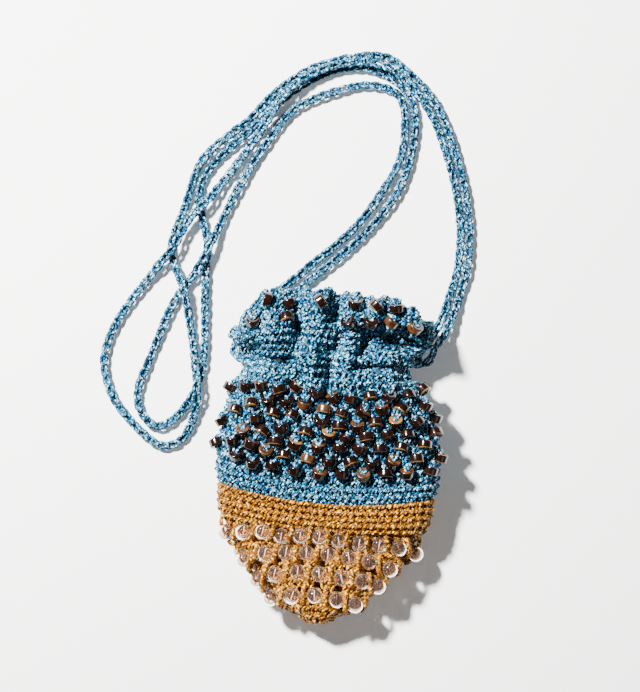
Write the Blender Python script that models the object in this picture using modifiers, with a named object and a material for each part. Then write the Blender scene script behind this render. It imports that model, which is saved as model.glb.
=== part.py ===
# Crochet drawstring pouch lying on its back: +Y runs to the mouth, +Z is up, the floor is at zero.
# Lengths in the tables are in millimetres and become metres where each mesh is made.
import math

import bpy
import numpy as np

MM = 0.001
WALL = 2.0
GAP = 0.3
BAND_SEGMENTS = 40
NECK_SEGMENTS = 80
WAVES = 10
BROWN_RADIUS = 4.0
BROWN_HALF_LENGTH = 2.25
BROWN_SHOULDER = 1.6
BROWN_TIP = 1.2
GLASS_RADIUS = 5.0
GLASS_SIDES = 8
GLASS_RINGS = 4
CORD_RADIUS = 1.9
FRILL_LIFT = 0.1
SEAT_SLACK = 0.35
GLASS_SLACK = 0.15
ORIGIN = np.array([-0.42, 93.84, 0.0])
CORD_SWING = 0.8
SEAM = 76.0
CROWN = 131.0
EYELET_LOW, EYELET_HIGH = 143.8, 155.2
LEFT_STRING_Y, RIGHT_STRING_Y = 147.0, 152.0
CORNER_SHARE = 0.085

# Level along the pouch, then half width, sideways shift, height of the middle, half thickness,
# rise of the front's middle, wave height in front and behind, length of the rounded side.
LEVELS = [
    (2.5, 6.0, 0.0, 13.2, 1.8, 0.0, 0.0, 0.0, 3.0),
    (8.0, 15.0, 0.0, 13.2, 1.9, 0.5, 0.0, 0.0, 5.0),
    (14.0, 21.5, 0.0, 13.2, 1.9, 1.5, 0.0, 0.0, 7.0),
    (22.0, 29.0, 0.0, 13.3, 2.0, 5.0, 0.0, 0.0, 8.0),
    (33.0, 37.5, 0.0, 13.4, 2.1, 6.0, 0.0, 0.0, 9.0),
    (44.0, 46.0, 0.0, 13.8, 2.3, 2.5, 0.0, 0.0, 10.0),
    (51.0, 49.5, 0.0, 14.5, 2.8, 0.5, 0.0, 0.0, 12.0),
    (57.0, 55.5, 0.0, 16.0, 6.2, -2.5, 0.0, 0.0, 15.0),
    (63.0, 59.2, 0.0, 17.1, 7.7, -5.0, 0.0, 0.0, 18.0),
    (70.0, 60.4, 0.0, 17.4, 8.0, -6.5, 0.0, 0.0, 18.0),
    (78.0, 60.2, 0.0, 17.5, 8.0, -7.0, 0.0, 0.0, 18.0),
    (90.0, 59.6, 0.0, 17.6, 8.1, -6.5, 0.0, 0.0, 18.0),
    (104.0, 58.7, 0.0, 17.7, 8.2, -5.5, 0.0, 0.0, 18.0),
    (118.0, 55.5, -1.5, 17.8, 8.3, -5.0, 0.0, 0.0, 17.0),
    (131.0, 50.0, -3.0, 18.0, 8.2, -4.0, 0.8, 0.2, 15.0),
    (138.0, 45.5, -3.6, 17.4, 8.8, -2.0, 2.6, 2.4, 12.0),
    (143.8, 41.5, -4.0, 16.6, 9.3, 0.0, 4.1, 4.1, 9.5),
    (149.5, 40.5, -4.0, 16.6, 9.5, 0.0, 4.2, 4.2, 9.5),
    (155.2, 40.5, -4.0, 16.6, 9.5, 0.0, 4.2, 4.2, 9.5),
    (162.0, 45.0, -4.0, 17.8, 9.4, 0.0, 4.4, 2.8, 10.0),
    (170.0, 49.0, -4.0, 18.6, 9.5, 0.0, 4.8, 2.2, 11.0),
    (178.0, 50.5, -4.0, 19.2, 9.7, 0.0, 5.2, 2.0, 12.0),
    (186.0, 51.0, -4.0, 19.6, 10.0, 0.0, 5.4, 2.0, 13.0),
]
GOLD_LEVELS = [2.5, 5.0, 9.0, 15.0, 22.0, 31.0, 41.0, 51.0, 54.5, 58.0, 63.0, 69.0, SEAM - GAP / 2]
BLUE_LEVELS = [SEAM + GAP / 2, 83.0, 92.0, 101.0, 110.0, 119.0, 126.0]
NECK_LEVELS = [CROWN, 135.5, 139.8, EYELET_LOW, EYELET_HIGH, 160.0, 165.5, 171.5, 178.0, 186.0]

# Brown ring beads in front, by row from the neck down, as sideways place and length along the pouch.
BROWN_FRONT = {
    "a": [(-58.7, 130.6), (-50.2, 132.4), (-41.5, 133.5), (-31.2, 131.7), (-21.5, 134.0), (-10.2, 132.2),
          (-0.2, 130.0), (9.8, 129.6), (20.6, 131.8), (30.9, 133.1), (42.3, 134.0), (51.5, 138.4)],
    "b": [(-54.8, 118.6), (-46.0, 122.4), (-36.8, 125.6), (-26.5, 125.9), (-16.0, 125.2), (-4.8, 122.4),
          (5.6, 121.3), (17.0, 122.9), (27.8, 125.4), (38.8, 126.3), (52.3, 129.0)],
    "c": [(-62.0, 111.6), (-43.0, 114.6), (-33.2, 118.4), (-22.6, 118.4), (-6.1, 116.0), (4.6, 113.8),
          (14.6, 114.5), (24.8, 117.2), (36.0, 118.6), (48.0, 119.6), (58.5, 122.4)],
    "d": [(-49.5, 107.0), (-38.6, 107.6), (-28.2, 110.6), (-14.1, 109.0), (-1.6, 108.6), (9.0, 107.4),
          (20.2, 108.8), (32.1, 110.9), (43.4, 111.8), (59.2, 114.0)],
    "e": [(-64.2, 98.6), (-55.2, 100.7), (-44.6, 99.8), (-31.0, 102.6), (-19.8, 101.6), (-6.4, 100.7),
          (5.4, 101.2), (17.0, 101.7), (28.4, 102.6), (40.6, 104.7), (53.5, 107.0)],
    "f": [(-52.4, 93.4), (-36.1, 96.4), (-25.4, 95.0), (-11.7, 93.7), (0.2, 93.6), (12.4, 93.9),
          (24.3, 94.2), (36.1, 95.8), (49.6, 98.6), (63.2, 100.2)],
    "g": [(-43.0, 89.4), (-31.4, 88.2), (-18.6, 86.8), (-4.9, 86.4), (8.1, 87.0), (20.2, 87.1),
          (32.6, 88.8), (44.5, 90.4), (58.1, 92.6)],
}
# Back rows from the neck down: each row's first bead's sideways place and how many beads it holds.
BROWN_BACK = {
    "a": (-38.0, 8), "b": (-40.0, 8), "c": (-46.0, 9), "d": (-40.5, 8),
    "e": (-46.0, 9), "f": (-40.5, 8), "g": (-46.0, 9),
}
BACK_CLEARANCE = 3.0
BACK_ROW_PITCH = 7.0
BACK_PITCH = 11.5
BACK_SHIFT = {"a": -1.5, "b": -1.0}
FRILL_ROWS = {
    "upper": [(-41.4, 181.6), (-29.2, 181.0), (-11.4, 183.0), (8.0, 183.5), (20.0, 183.2), (31.4, 182.4)],
    "lower": [(-48.7, 168.9), (-29.7, 172.6), (4.9, 172.6), (17.6, 173.6), (29.2, 174.4), (42.8, 172.4)],
}
GLASS_FRONT = {
    1: [(-55.0, 48.0), (-44.8, 49.6), (-34.0, 51.0), (-23.4, 49.2), (-12.6, 50.2), (-1.8, 50.4), (9.2, 49.2),
        (21.0, 48.4), (32.4, 48.2), (43.6, 47.2), (54.5, 43.8)],
    2: [(-43.5, 33.4), (-31.9, 38.2), (-20.0, 39.6), (-8.4, 40.6), (3.8, 40.8), (15.8, 39.6), (27.6, 38.4),
        (39.4, 34.8)],
    3: [(-35.3, 22.9), (-25.6, 27.0), (-12.6, 29.1), (-0.3, 29.0), (12.6, 27.6), (24.6, 26.8), (33.4, 24.6)],
    4: [(-26.8, 13.4), (-14.6, 15.4), (-2.0, 16.6), (10.8, 15.2), (21.4, 13.2)],
}
GLASS_BACK = {
    1: (45.0, [-42.0, -30.0, -18.0, -6.0, 6.0, 18.0, 30.0, 42.0]),
    2: (34.5, [-30.0, -18.0, -6.0, 6.0, 18.0, 30.0]),
    3: (24.0, [-24.0, -12.0, 0.0, 12.0, 24.0]),
    4: (13.0, [-14.0, -2.5, 9.0]),
}

# Routes of the two loops that leave the neck and lie on the floor.
LEFT_ROUTE = [
    (-52.34, 147, 15.2), (-54.2, 147, 13.6), (-58.7, 150.8, 9.6), (-58, 157.8, 4.3),
    (-52.6, 166.5, 2.2), (-44.5, 177.3, 2.2), (-36, 187.4, 2.2), (-26.2, 196.5, 2.2),
    (-15.8, 206.7, 2.2), (-4.9, 217.1, 2.2), (4.3, 227, 2.2), (12.2, 237.8, 2.2), (19.4, 250.2, 2.2),
    (25.4, 262, 2.2), (28.4, 273.5, 2.2), (28.7, 286.2, 2.2), (27.2, 297.8, 2.2), (22, 305.7, 2.2),
    (12.1, 308.7, 2.2), (0.8, 308.3, 2.2), (-11.3, 304.4, 2.2), (-23.7, 299, 2.2), (-34.2, 292.7, 2.2),
    (-42, 284.1, 2.2), (-49.1, 272.1, 2.2), (-56.6, 258.9, 2.2), (-62.7, 246.5, 2.3),
    (-68.3, 233.2, 2.2), (-72.9, 221.8, 3.5), (-77.2, 210.5, 6.7), (-81.2, 200.6, 6.4),
    (-86.6, 190.4, 3.3), (-92.9, 181, 2.3), (-97.9, 169.9, 2.3), (-102.6, 155.8, 2.2),
    (-107.3, 141.2, 2.2), (-111.3, 128.3, 2.2), (-111.5, 117.9, 2.2), (-106.8, 109.2, 2.2),
    (-99.2, 104.7, 2.2), (-91.2, 108.7, 2.2), (-84.2, 117.5, 2.2), (-78.9, 128.5, 2.2),
    (-76.3, 140.4, 2.2), (-75.8, 153.4, 2.2), (-76.7, 167.6, 2.2), (-77.9, 182.9, 2.2),
    (-78.5, 197.1, 2.2), (-79.2, 209.8, 2.2), (-82, 223.1, 2.2), (-85.5, 235.5, 2.2),
    (-84.8, 245.8, 2.2), (-79.7, 256, 2.2), (-71.6, 265.7, 2.2), (-61.5, 275.7, 2.2),
    (-52.8, 285.8, 2.2), (-43.5, 296.1, 2.2), (-33.7, 304.9, 2.2), (-23, 311.9, 2.2),
    (-11.7, 316.7, 2.2), (-0.1, 318.7, 2.2), (11, 317.2, 2.2), (21.5, 312.3, 2.2), (29.5, 305, 2.2),
    (33.6, 295.2, 2.2), (34.6, 283.2, 2.2), (33.4, 270.4, 2.2), (30.5, 257.5, 2.2), (25.9, 245.9, 2.2),
    (19, 235, 2.2), (10.3, 223.7, 2.2), (1, 213.5, 2.2), (-9.6, 203.5, 2.2), (-19.8, 193.8, 2.2),
    (-29, 183.2, 2.2), (-38.5, 172.2, 2.2), (-46.9, 161.3, 2.2), (-53.1, 153.2, 3.6),
    (-54.4, 147, 7.85), (-52.4, 147, 8),
]
RIGHT_ROUTE = [
    (44.34, 152, 15.2), (46, 152, 13.8), (47.5, 161.5, 11.9), (54, 169.4, 7.9), (58.6, 179.7, 4.6),
    (61.7, 191.7, 2.3), (64.7, 203.9, 2.3), (65.7, 217.2, 2.2), (65, 230.9, 2.2), (62.4, 245, 2.2),
    (58.8, 258.9, 2.3), (53.8, 272.7, 2.4), (48.2, 286.2, 2.6), (41.6, 297.4, 2.9), (33.5, 307.3, 4.1),
    (24.5, 315.2, 5.5), (13.9, 320.1, 6.6), (2.2, 321.6, 6.8), (-10.3, 319.8, 6.6),
    (-22.1, 315.4, 6.7), (-32.7, 308.6, 6.8), (-41.1, 299.7, 7.3), (-47.4, 289.2, 7),
    (-53.3, 277.9, 4.3), (-59.8, 267.1, 2.7), (-67.2, 255.3, 2.4), (-74.3, 244.7, 3.2),
    (-81.1, 235.1, 6.2), (-88, 227.1, 6.4), (-93.8, 217.2, 5.8), (-98.2, 206.9, 7.5),
    (-104.6, 198.2, 5.1), (-111.5, 187.8, 2.4), (-119, 176.8, 2.3), (-126.1, 164.7, 2.3),
    (-130.8, 152.6, 2.2), (-132.6, 140.8, 2.2), (-130.2, 129.2, 2.2), (-124.9, 118.2, 2.2),
    (-116.4, 108.6, 2.2), (-106.2, 99.6, 2.2), (-96.7, 94.2, 2.3), (-87.7, 96.1, 2.3),
    (-81.5, 104, 2.3), (-78.4, 114.8, 3.5), (-77.9, 125.9, 7), (-79.4, 137.1, 6.5),
    (-81.9, 149.7, 3.4), (-84.4, 161.1, 3), (-87.5, 174.3, 5.6), (-90.9, 185.7, 7.2),
    (-96.1, 196.1, 4.2), (-99.5, 206.1, 2.2), (-97.6, 217.4, 2.2), (-93.4, 230.6, 2.2),
    (-90.6, 244, 2.2), (-86.9, 256, 2.2), (-79.9, 265.9, 2.2), (-70, 275.3, 2.2), (-60.4, 284.5, 2.2),
    (-51.2, 295.5, 2.2), (-41.7, 305.4, 2.2), (-31.1, 313.4, 2.2), (-19.5, 319.4, 2.2),
    (-6.7, 323.4, 2.2), (6.1, 326.4, 2.2), (16.7, 325.6, 2.2), (26.8, 319, 2.2), (37.2, 310.4, 2.2),
    (45.7, 300.4, 2.2), (52.4, 289, 2.2), (58.1, 275.8, 2.2), (63.3, 261.8, 2.2), (67, 248, 2.2),
    (69.7, 233.7, 2.2), (70.8, 220.1, 2.2), (70.3, 206.4, 2.3), (67.8, 193.9, 2.2), (64.7, 182, 3.8),
    (60.3, 169.9, 6.8), (55.2, 161.6, 9.7), (53, 154.6, 8), (46.6, 152, 7.85), (44.4, 152, 8),
]

COLOURS = {
    "blue": ((0.05, 0.22, 0.36), 0.45, 0.15),
    "cord": ((0.07, 0.28, 0.44), 0.45, 0.15),
    "gold": ((0.55, 0.30, 0.06), 0.5, 0.1),
    "brown": ((0.09, 0.03, 0.015), 0.22, 0.0),
    "glass": ((0.92, 0.86, 0.84), 0.05, 0.0),
}


def clear_scene():
    for item in list(bpy.data.objects):
        bpy.data.objects.remove(item, do_unlink=True)


def material(name, look):
    colour, roughness, metallic = COLOURS[look]
    made = bpy.data.materials.new(name)
    made.use_nodes = True
    shader = made.node_tree.nodes["Principled BSDF"]
    shader.inputs["Base Color"].default_value = (*colour, 1.0)
    shader.inputs["Roughness"].default_value = roughness
    shader.inputs["Metallic"].default_value = metallic
    if look == "glass":
        shader.inputs["Transmission Weight"].default_value = 1.0
    made.diffuse_color = (*colour, 1.0)
    return made


def add_mesh(name, points, faces, look, smooth):
    mesh = bpy.data.meshes.new(name)
    mesh.from_pydata([tuple(float(c) * MM for c in p - ORIGIN) for p in points], [], faces)
    mesh.validate()
    mesh.update()
    item = bpy.data.objects.new(name, mesh)
    item.data.materials.append(material(name + "_finish", look))
    parts.objects.link(item)
    if smooth:
        for face in mesh.polygons:
            face.use_smooth = True
    return item


def at_level(level):
    """One row of the table at any level, eased between its neighbours."""
    table = np.array(LEVELS)
    levels = table[:, 0]
    level = min(max(level, levels[0]), levels[-1])
    i = int(np.clip(np.searchsorted(levels, level) - 1, 0, len(levels) - 2))
    span = levels[i + 1] - levels[i]
    t = (level - levels[i]) / span

    def slope(k):
        if k in (0, len(levels) - 1):
            return np.zeros(table.shape[1] - 1)
        before = (table[k, 1:] - table[k - 1, 1:]) / (levels[k] - levels[k - 1])
        after = (table[k + 1, 1:] - table[k, 1:]) / (levels[k + 1] - levels[k])
        both = before + after
        both = np.where(both == 0, 1.0, both)
        return np.where(before * after > 0, 2 * before * after / both, 0.0)

    a, b = table[i, 1:], table[i + 1, 1:]
    first, second = slope(i) * span, slope(i + 1) * span
    return ((2 * t**3 - 3 * t**2 + 1) * a + (t**3 - 2 * t**2 + t) * first
            + (-2 * t**3 + 3 * t**2) * b + (t**3 - t**2) * second)


def ring_place(u, width, half, side):
    """Place and outward direction on the flattened ring: u runs from the right side over the front."""
    u = u % 1.0
    flip = 1.0 if u <= 0.5 else -1.0
    v = u if u <= 0.5 else 1.0 - u
    if v < CORNER_SHARE:
        turn = v / CORNER_SHARE * math.pi / 2
        x, z = width - side + side * math.cos(turn), half * math.sin(turn)
        nx, nz = math.cos(turn) / side, math.sin(turn) / half
    elif v > 0.5 - CORNER_SHARE:
        turn = (0.5 - v) / CORNER_SHARE * math.pi / 2
        x, z = -(width - side + side * math.cos(turn)), half * math.sin(turn)
        nx, nz = -math.cos(turn) / side, math.sin(turn) / half
    else:
        along = (v - CORNER_SHARE) / (0.5 - 2 * CORNER_SHARE)
        x, z, nx, nz = (width - side) * (1 - 2 * along), half, 0.0, 1.0
    size = math.hypot(nx, nz)
    return x, z * flip, nx / size, nz / size * flip


def mouth_drop(level, x, width):
    """How far the frill's sides hang back toward the neck."""
    rise = min(max((level - EYELET_HIGH) / (186.0 - EYELET_HIGH), 0.0), 1.0)
    return rise * (26.0 if x < 0 else 14.0) * min(abs(x) / width, 1.0) ** 6


def wave_phase(u):
    return math.cos(2 * math.pi * WAVES * u)


def shell(u, level, wave=True, lift=0.0):
    """Middle of the fabric's thickness at share u of the way round."""
    width, shift, middle, half, rise, front_wave, back_wave, side = at_level(level)
    x, z, nx, nz = ring_place(u, width, half, side)
    share = 0.5 + 0.5 * nz
    height = (front_wave * share + back_wave * (1 - share)) if wave else 0.0
    out = height * wave_phase(u) + lift
    y = level + (rise * (1 - min((x / width) ** 2, 1.0)) * share if nz > 0 else 0.0)
    y -= mouth_drop(level, x, width)
    return np.array([shift + x + nx * out, y, middle + z + nz * out])


def grid(levels, segments):
    return [[shell(k / segments, level) for k in range(segments)] for level in levels]


def solidify(item):
    thick = item.modifiers.new("fabric", "SOLIDIFY")
    thick.thickness = WALL * MM
    thick.offset = 0.0
    thick.use_even_offset = False
    thick.use_rim = True
    return item


def loft(rings, skip=()):
    points = [p for ring in rings for p in ring]
    faces = []
    start = 0
    for r in range(len(rings) - 1):
        low, high = len(rings[r]), len(rings[r + 1])
        upper = start + low
        for k in range(low):
            n = (k + 1) % low
            if low == high:
                if (r, k) not in skip:
                    faces.append((start + k, start + n, upper + n, upper + k))
            else:
                a, b, c = upper + 2 * k, upper + 2 * k + 1, upper + (2 * k + 2) % high
                faces += [(start + k, b, a), (start + k, start + n, b), (start + n, c, b)]
        start = upper
    return points, faces


def make_gold_base():
    rings = grid(GOLD_LEVELS, BAND_SEGMENTS)
    points, faces = loft(rings)
    faces.append(tuple(reversed(range(BAND_SEGMENTS))))
    return solidify(add_mesh("gold_base", points, faces, "gold", True))


def make_blue_body():
    rings = grid(BLUE_LEVELS, BAND_SEGMENTS) + grid(NECK_LEVELS, NECK_SEGMENTS)
    eyelet_row = len(BLUE_LEVELS) + NECK_LEVELS.index(EYELET_LOW)
    per_wave = NECK_SEGMENTS // WAVES
    quarter = per_wave // 4
    skip = set()
    for w in range(WAVES):
        for crossing in (quarter, 3 * quarter):
            for k in (crossing - 1, crossing):
                skip.add((eyelet_row, (w * per_wave + k) % NECK_SEGMENTS))
    for end in (0, NECK_SEGMENTS // 2):
        for k in range(-quarter, quarter):
            skip.add((eyelet_row, (end + k) % NECK_SEGMENTS))
    points, faces = loft(rings, skip)
    return solidify(add_mesh("blue_body", points, faces, "blue", True))


def fabric_samples():
    found = []
    for level in np.arange(2.5, 186.01, 1.0):
        for k in range(320):
            found.append(shell(k / 320, level))
    return np.array(found)


def rest_on_front(x, y, reach):
    """Lowest height at which a ball of this reach touches the front's middle surface from above."""
    flat = (samples[:, 0] - x) ** 2 + (samples[:, 1] - y) ** 2
    near = flat < reach**2
    if not near.any():
        return None
    return float((samples[near, 2] + np.sqrt(reach**2 - flat[near])).max())


def seat(x, y, radius, slack=SEAT_SLACK):
    """Centre of a bead in front, clear of the fabric, and the direction away from the fabric."""
    reach = radius + WALL / 2 + GAP + slack
    middle = at_level(y)[2]
    z = rest_on_front(x, y, reach)
    z = middle if z is None else max(z, middle)
    centre = np.array([x, y, z])
    for settle in range(6):
        gaps = np.linalg.norm(samples - centre, axis=1)
        touch = samples[gaps.argmin()]
        centre = touch + (centre - touch) / gaps.min() * reach
    away = centre - touch
    return centre, away / np.linalg.norm(away)


def strip(stations):
    """Four-sided bar through stations of centre, along, up, half length and half height."""
    points, faces = [], []
    for centre, side, up, length, height in stations:
        for a, b in ((-1, -1), (1, -1), (1, 1), (-1, 1)):
            points.append(centre + side * a * length + up * b * height)
    count = len(stations)
    for s in range(count - 1):
        for k in range(4):
            n = (k + 1) % 4
            faces.append((4 * s + k, 4 * s + n, 4 * s + 4 + n, 4 * s + 4 + k))
    faces.append((3, 2, 1, 0))
    last = 4 * (count - 1)
    faces.append((last, last + 1, last + 2, last + 3))
    return points, faces


def bead_chain(name, beads, bridge=None):
    """Ring beads side by side on one yarn, each a short drum whose bore runs along the pouch."""
    stations = []
    for i, (centre, up) in enumerate(beads):
        before = beads[max(i - 1, 0)][0]
        after = beads[min(i + 1, len(beads) - 1)][0]
        run = after - before
        run[1] *= 0.3
        run -= up * run.dot(up)
        run /= np.linalg.norm(run)
        side = np.cross(up, run)
        if side[1] < 0:
            side = -side
        if bridge and i:
            low = bridge(beads[i - 1][0], centre)
            stations += [(p, side, up, BROWN_TIP, BROWN_TIP) for p in low]
        for along, length, height in ((-1.0, BROWN_TIP, BROWN_TIP), (-0.4, BROWN_HALF_LENGTH, 1.0),
                                      (0.4, BROWN_HALF_LENGTH, 1.0), (1.0, BROWN_TIP, BROWN_TIP)):
            tall = height if height != 1.0 else BROWN_RADIUS
            reach = BROWN_RADIUS if abs(along) == 1.0 else BROWN_SHOULDER
            stations.append((centre + run * math.copysign(reach, along), side, up, length, tall))
    points, faces = strip(stations)
    return add_mesh(name, points, faces, "brown", False)


def front_bridge(one, two):
    """Yarn between two frill beads, carried over the folds between them."""
    reach = BROWN_TIP * 1.5 + WALL / 2 + GAP
    found = []
    span = np.linalg.norm((two - one)[:2])
    count = max(int((span - 2 * BROWN_RADIUS) / 3.0), 1)
    for k in range(1, count + 1):
        share = (BROWN_RADIUS + (span - 2 * BROWN_RADIUS) * k / (count + 1)) / span
        middle = one + (two - one) * share
        z = rest_on_front(middle[0], middle[1], reach)
        found.append(np.array([middle[0], middle[1], middle[2] if z is None else max(z, middle[2])]))
    return found


def make_brown_beads():
    up = np.array([0.0, 0.0, 1.0])
    for row, places in BROWN_FRONT.items():
        beads = [seat(x, y, BROWN_RADIUS) for x, y in places]
        bead_chain("brown_beads_front_row_" + row, beads, front_bridge if row == "a" else None)
    for number, (row, (first, count)) in enumerate(BROWN_BACK.items()):
        level = CROWN - BACK_CLEARANCE - BACK_ROW_PITCH * number
        shift = BACK_SHIFT.get(row, 0.0)
        beads = [(np.array([shift + first + BACK_PITCH * k, level, BROWN_RADIUS]), up) for k in range(round(count))]
        bead_chain("brown_beads_back_row_" + row, beads)
    for row, places in FRILL_ROWS.items():
        beads = [(seat(x, y, BROWN_RADIUS + FRILL_LIFT)[0], up) for x, y in places]
        bead_chain("brown_beads_frill_" + row, beads, front_bridge)


def ball_points(centre, radius):
    points = [centre + np.array([0, -radius, 0])]
    for ring in range(1, GLASS_RINGS):
        turn = math.pi * ring / GLASS_RINGS
        for k in range(GLASS_SIDES):
            round_turn = 2 * math.pi * k / GLASS_SIDES
            points.append(centre + radius * np.array([
                math.sin(turn) * math.cos(round_turn), -math.cos(turn), math.sin(turn) * math.sin(round_turn)]))
    points.append(centre + np.array([0, radius, 0]))
    return points


def glass_bead(name, centre):
    points = ball_points(centre, GLASS_RADIUS)
    last = len(points) - 1
    faces = []
    for k in range(GLASS_SIDES):
        n = (k + 1) % GLASS_SIDES
        faces.append((0, 1 + k, 1 + n))
        for ring in range(GLASS_RINGS - 2):
            a = 1 + ring * GLASS_SIDES
            b = a + GLASS_SIDES
            faces.append((a + k, b + k, b + n, a + n))
        top = 1 + (GLASS_RINGS - 2) * GLASS_SIDES
        faces.append((top + k, last, top + n))
    return add_mesh(name, points, faces, "glass", True)


def glass_chain(name, centres):
    """Back row of glass beads threaded on one yarn."""
    x, y, z = np.eye(3)
    stations = []
    for centre in centres:
        for along, size in ((-1.0, 0.24), (-0.46, 0.9), (0.46, 0.9), (1.0, 0.24)):
            place = centre + x * along * GLASS_RADIUS
            stations.append((place, y, z, size * GLASS_RADIUS, GLASS_RADIUS if size > 0.5 else size * GLASS_RADIUS))
    points, faces = strip(stations)
    return add_mesh(name, points, faces, "glass", False)


def make_glass_beads():
    for row, places in GLASS_FRONT.items():
        for k, (x, y) in enumerate(places):
            centre = seat(x, y, GLASS_RADIUS, GLASS_SLACK)[0]
            glass_bead("glass_bead_front_%d_%02d" % (row, k + 1), centre)
    for row, (y, places) in GLASS_BACK.items():
        glass_chain("glass_beads_back_row_%d" % row, [np.array([x, y, GLASS_RADIUS]) for x in places])


def smooth_line(route, per_span):
    p = np.array(route)
    q = np.vstack([2 * p[0] - p[1], p, 2 * p[-1] - p[-2]])
    out = []
    for i in range(1, len(q) - 2):
        a, b, c, d = q[i - 1:i + 3]
        for s in range(per_span):
            t = s / per_span
            out.append(0.5 * (2 * b + (c - a) * t + (2 * a - 5 * b + 4 * c - d) * t**2
                              + (3 * b - a - 3 * c + d) * t**3))
    out.append(q[-2])
    return out


def cord(name, points, resolution):
    curve = bpy.data.curves.new(name, "CURVE")
    curve.dimensions = "3D"
    curve.bevel_depth = CORD_RADIUS * MM
    curve.bevel_resolution = resolution
    curve.use_fill_caps = True
    line = curve.splines.new("POLY")
    line.points.add(len(points) - 1)
    for spot, p in zip(line.points, points):
        spot.co = (*((np.array(p) - ORIGIN) * MM), 1.0)
    line.use_smooth = True
    item = bpy.data.objects.new(name, curve)
    curve.materials.append(material(name + "_finish", "cord"))
    parts.objects.link(item)
    return item


def neck_line(level, end):
    """Woven course of a drawstring round the neck, from one opening back to the same one."""
    per_wave = 8
    count = WAVES * per_wave
    middle = 0.0 if end == "right" else 0.5
    first = per_wave // 2 - 1
    points = []
    for k in range(first, count - first + 1):
        u = middle + k / count
        points.append(shell(u, level, wave=False, lift=-CORD_SWING * wave_phase(u)))
    start, finish = points[0], points[-1]
    out = 1.0 if end == "right" else -1.0
    side = STRING_END[0] if end == "right" else STRING_END[1]
    lead = [np.array([side, level, 15.4]), np.array([side - out * 2.6, level, 17.6])]
    tail = [np.array([side - out * 2.6, level, 8.2]), np.array([side, level, 8.0])]
    high_first = start[2] > finish[2]
    if not high_first:
        lead, tail = tail[::-1], lead[::-1]
    return [lead[0], lead[1]] + points + [tail[0], tail[1]]


STRING_END = (44.1, -52.1)


def make_strings():
    cord("drawstring_left_neck", neck_line(LEFT_STRING_Y, "left"), 2)
    cord("drawstring_right_neck", neck_line(RIGHT_STRING_Y, "right"), 2)
    cord("drawstring_left_cord", LEFT_ROUTE, 2)
    cord("drawstring_right_cord", RIGHT_ROUTE, 2)


clear_scene()
parts = bpy.data.collections.new("crochet_pouch")
bpy.context.scene.collection.children.link(parts)
samples = fabric_samples()
make_gold_base()
make_blue_body()
make_brown_beads()
make_glass_beads()
make_strings()
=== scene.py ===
import math

import bpy
import numpy as np
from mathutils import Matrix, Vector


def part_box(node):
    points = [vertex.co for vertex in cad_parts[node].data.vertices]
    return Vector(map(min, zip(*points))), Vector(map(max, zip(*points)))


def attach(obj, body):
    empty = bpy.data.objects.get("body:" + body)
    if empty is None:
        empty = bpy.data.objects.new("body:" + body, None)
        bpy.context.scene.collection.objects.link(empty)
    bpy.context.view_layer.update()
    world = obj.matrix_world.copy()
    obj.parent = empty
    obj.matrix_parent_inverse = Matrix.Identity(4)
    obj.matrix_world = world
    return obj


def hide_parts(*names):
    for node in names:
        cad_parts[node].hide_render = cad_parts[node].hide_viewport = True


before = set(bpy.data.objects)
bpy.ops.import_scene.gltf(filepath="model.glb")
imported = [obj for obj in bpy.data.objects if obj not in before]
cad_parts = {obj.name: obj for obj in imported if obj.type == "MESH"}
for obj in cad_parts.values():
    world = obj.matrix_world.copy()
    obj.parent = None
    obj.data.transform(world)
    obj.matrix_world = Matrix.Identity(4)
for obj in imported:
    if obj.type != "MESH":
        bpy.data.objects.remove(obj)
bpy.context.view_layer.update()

MM = 0.001
RNG = np.random.default_rng(7)
TINY = 1e-9
TURN = 2 * math.pi

# Sizes in millimetres: +Y runs from the tip to the mouth, +Z is up and the floor is at zero.
ORIGIN = np.array([-0.42, 93.84, 0.0])
WALL = 2.0
GAP = 0.3
BROWN_RADIUS = 4.0
SEAT_SLACK = 0.35
CORD_SWING = 0.8
WAVES = 10
SEAM = 76.0
TIP_LEVEL = 2.5
TOP_LEVEL = 186.0
EYELET_LOW = 143.8
EYELET_HIGH = 155.2
CORNER_SHARE = 0.085
GLASS_TOP = 53.0
STITCH = 4.2

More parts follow.
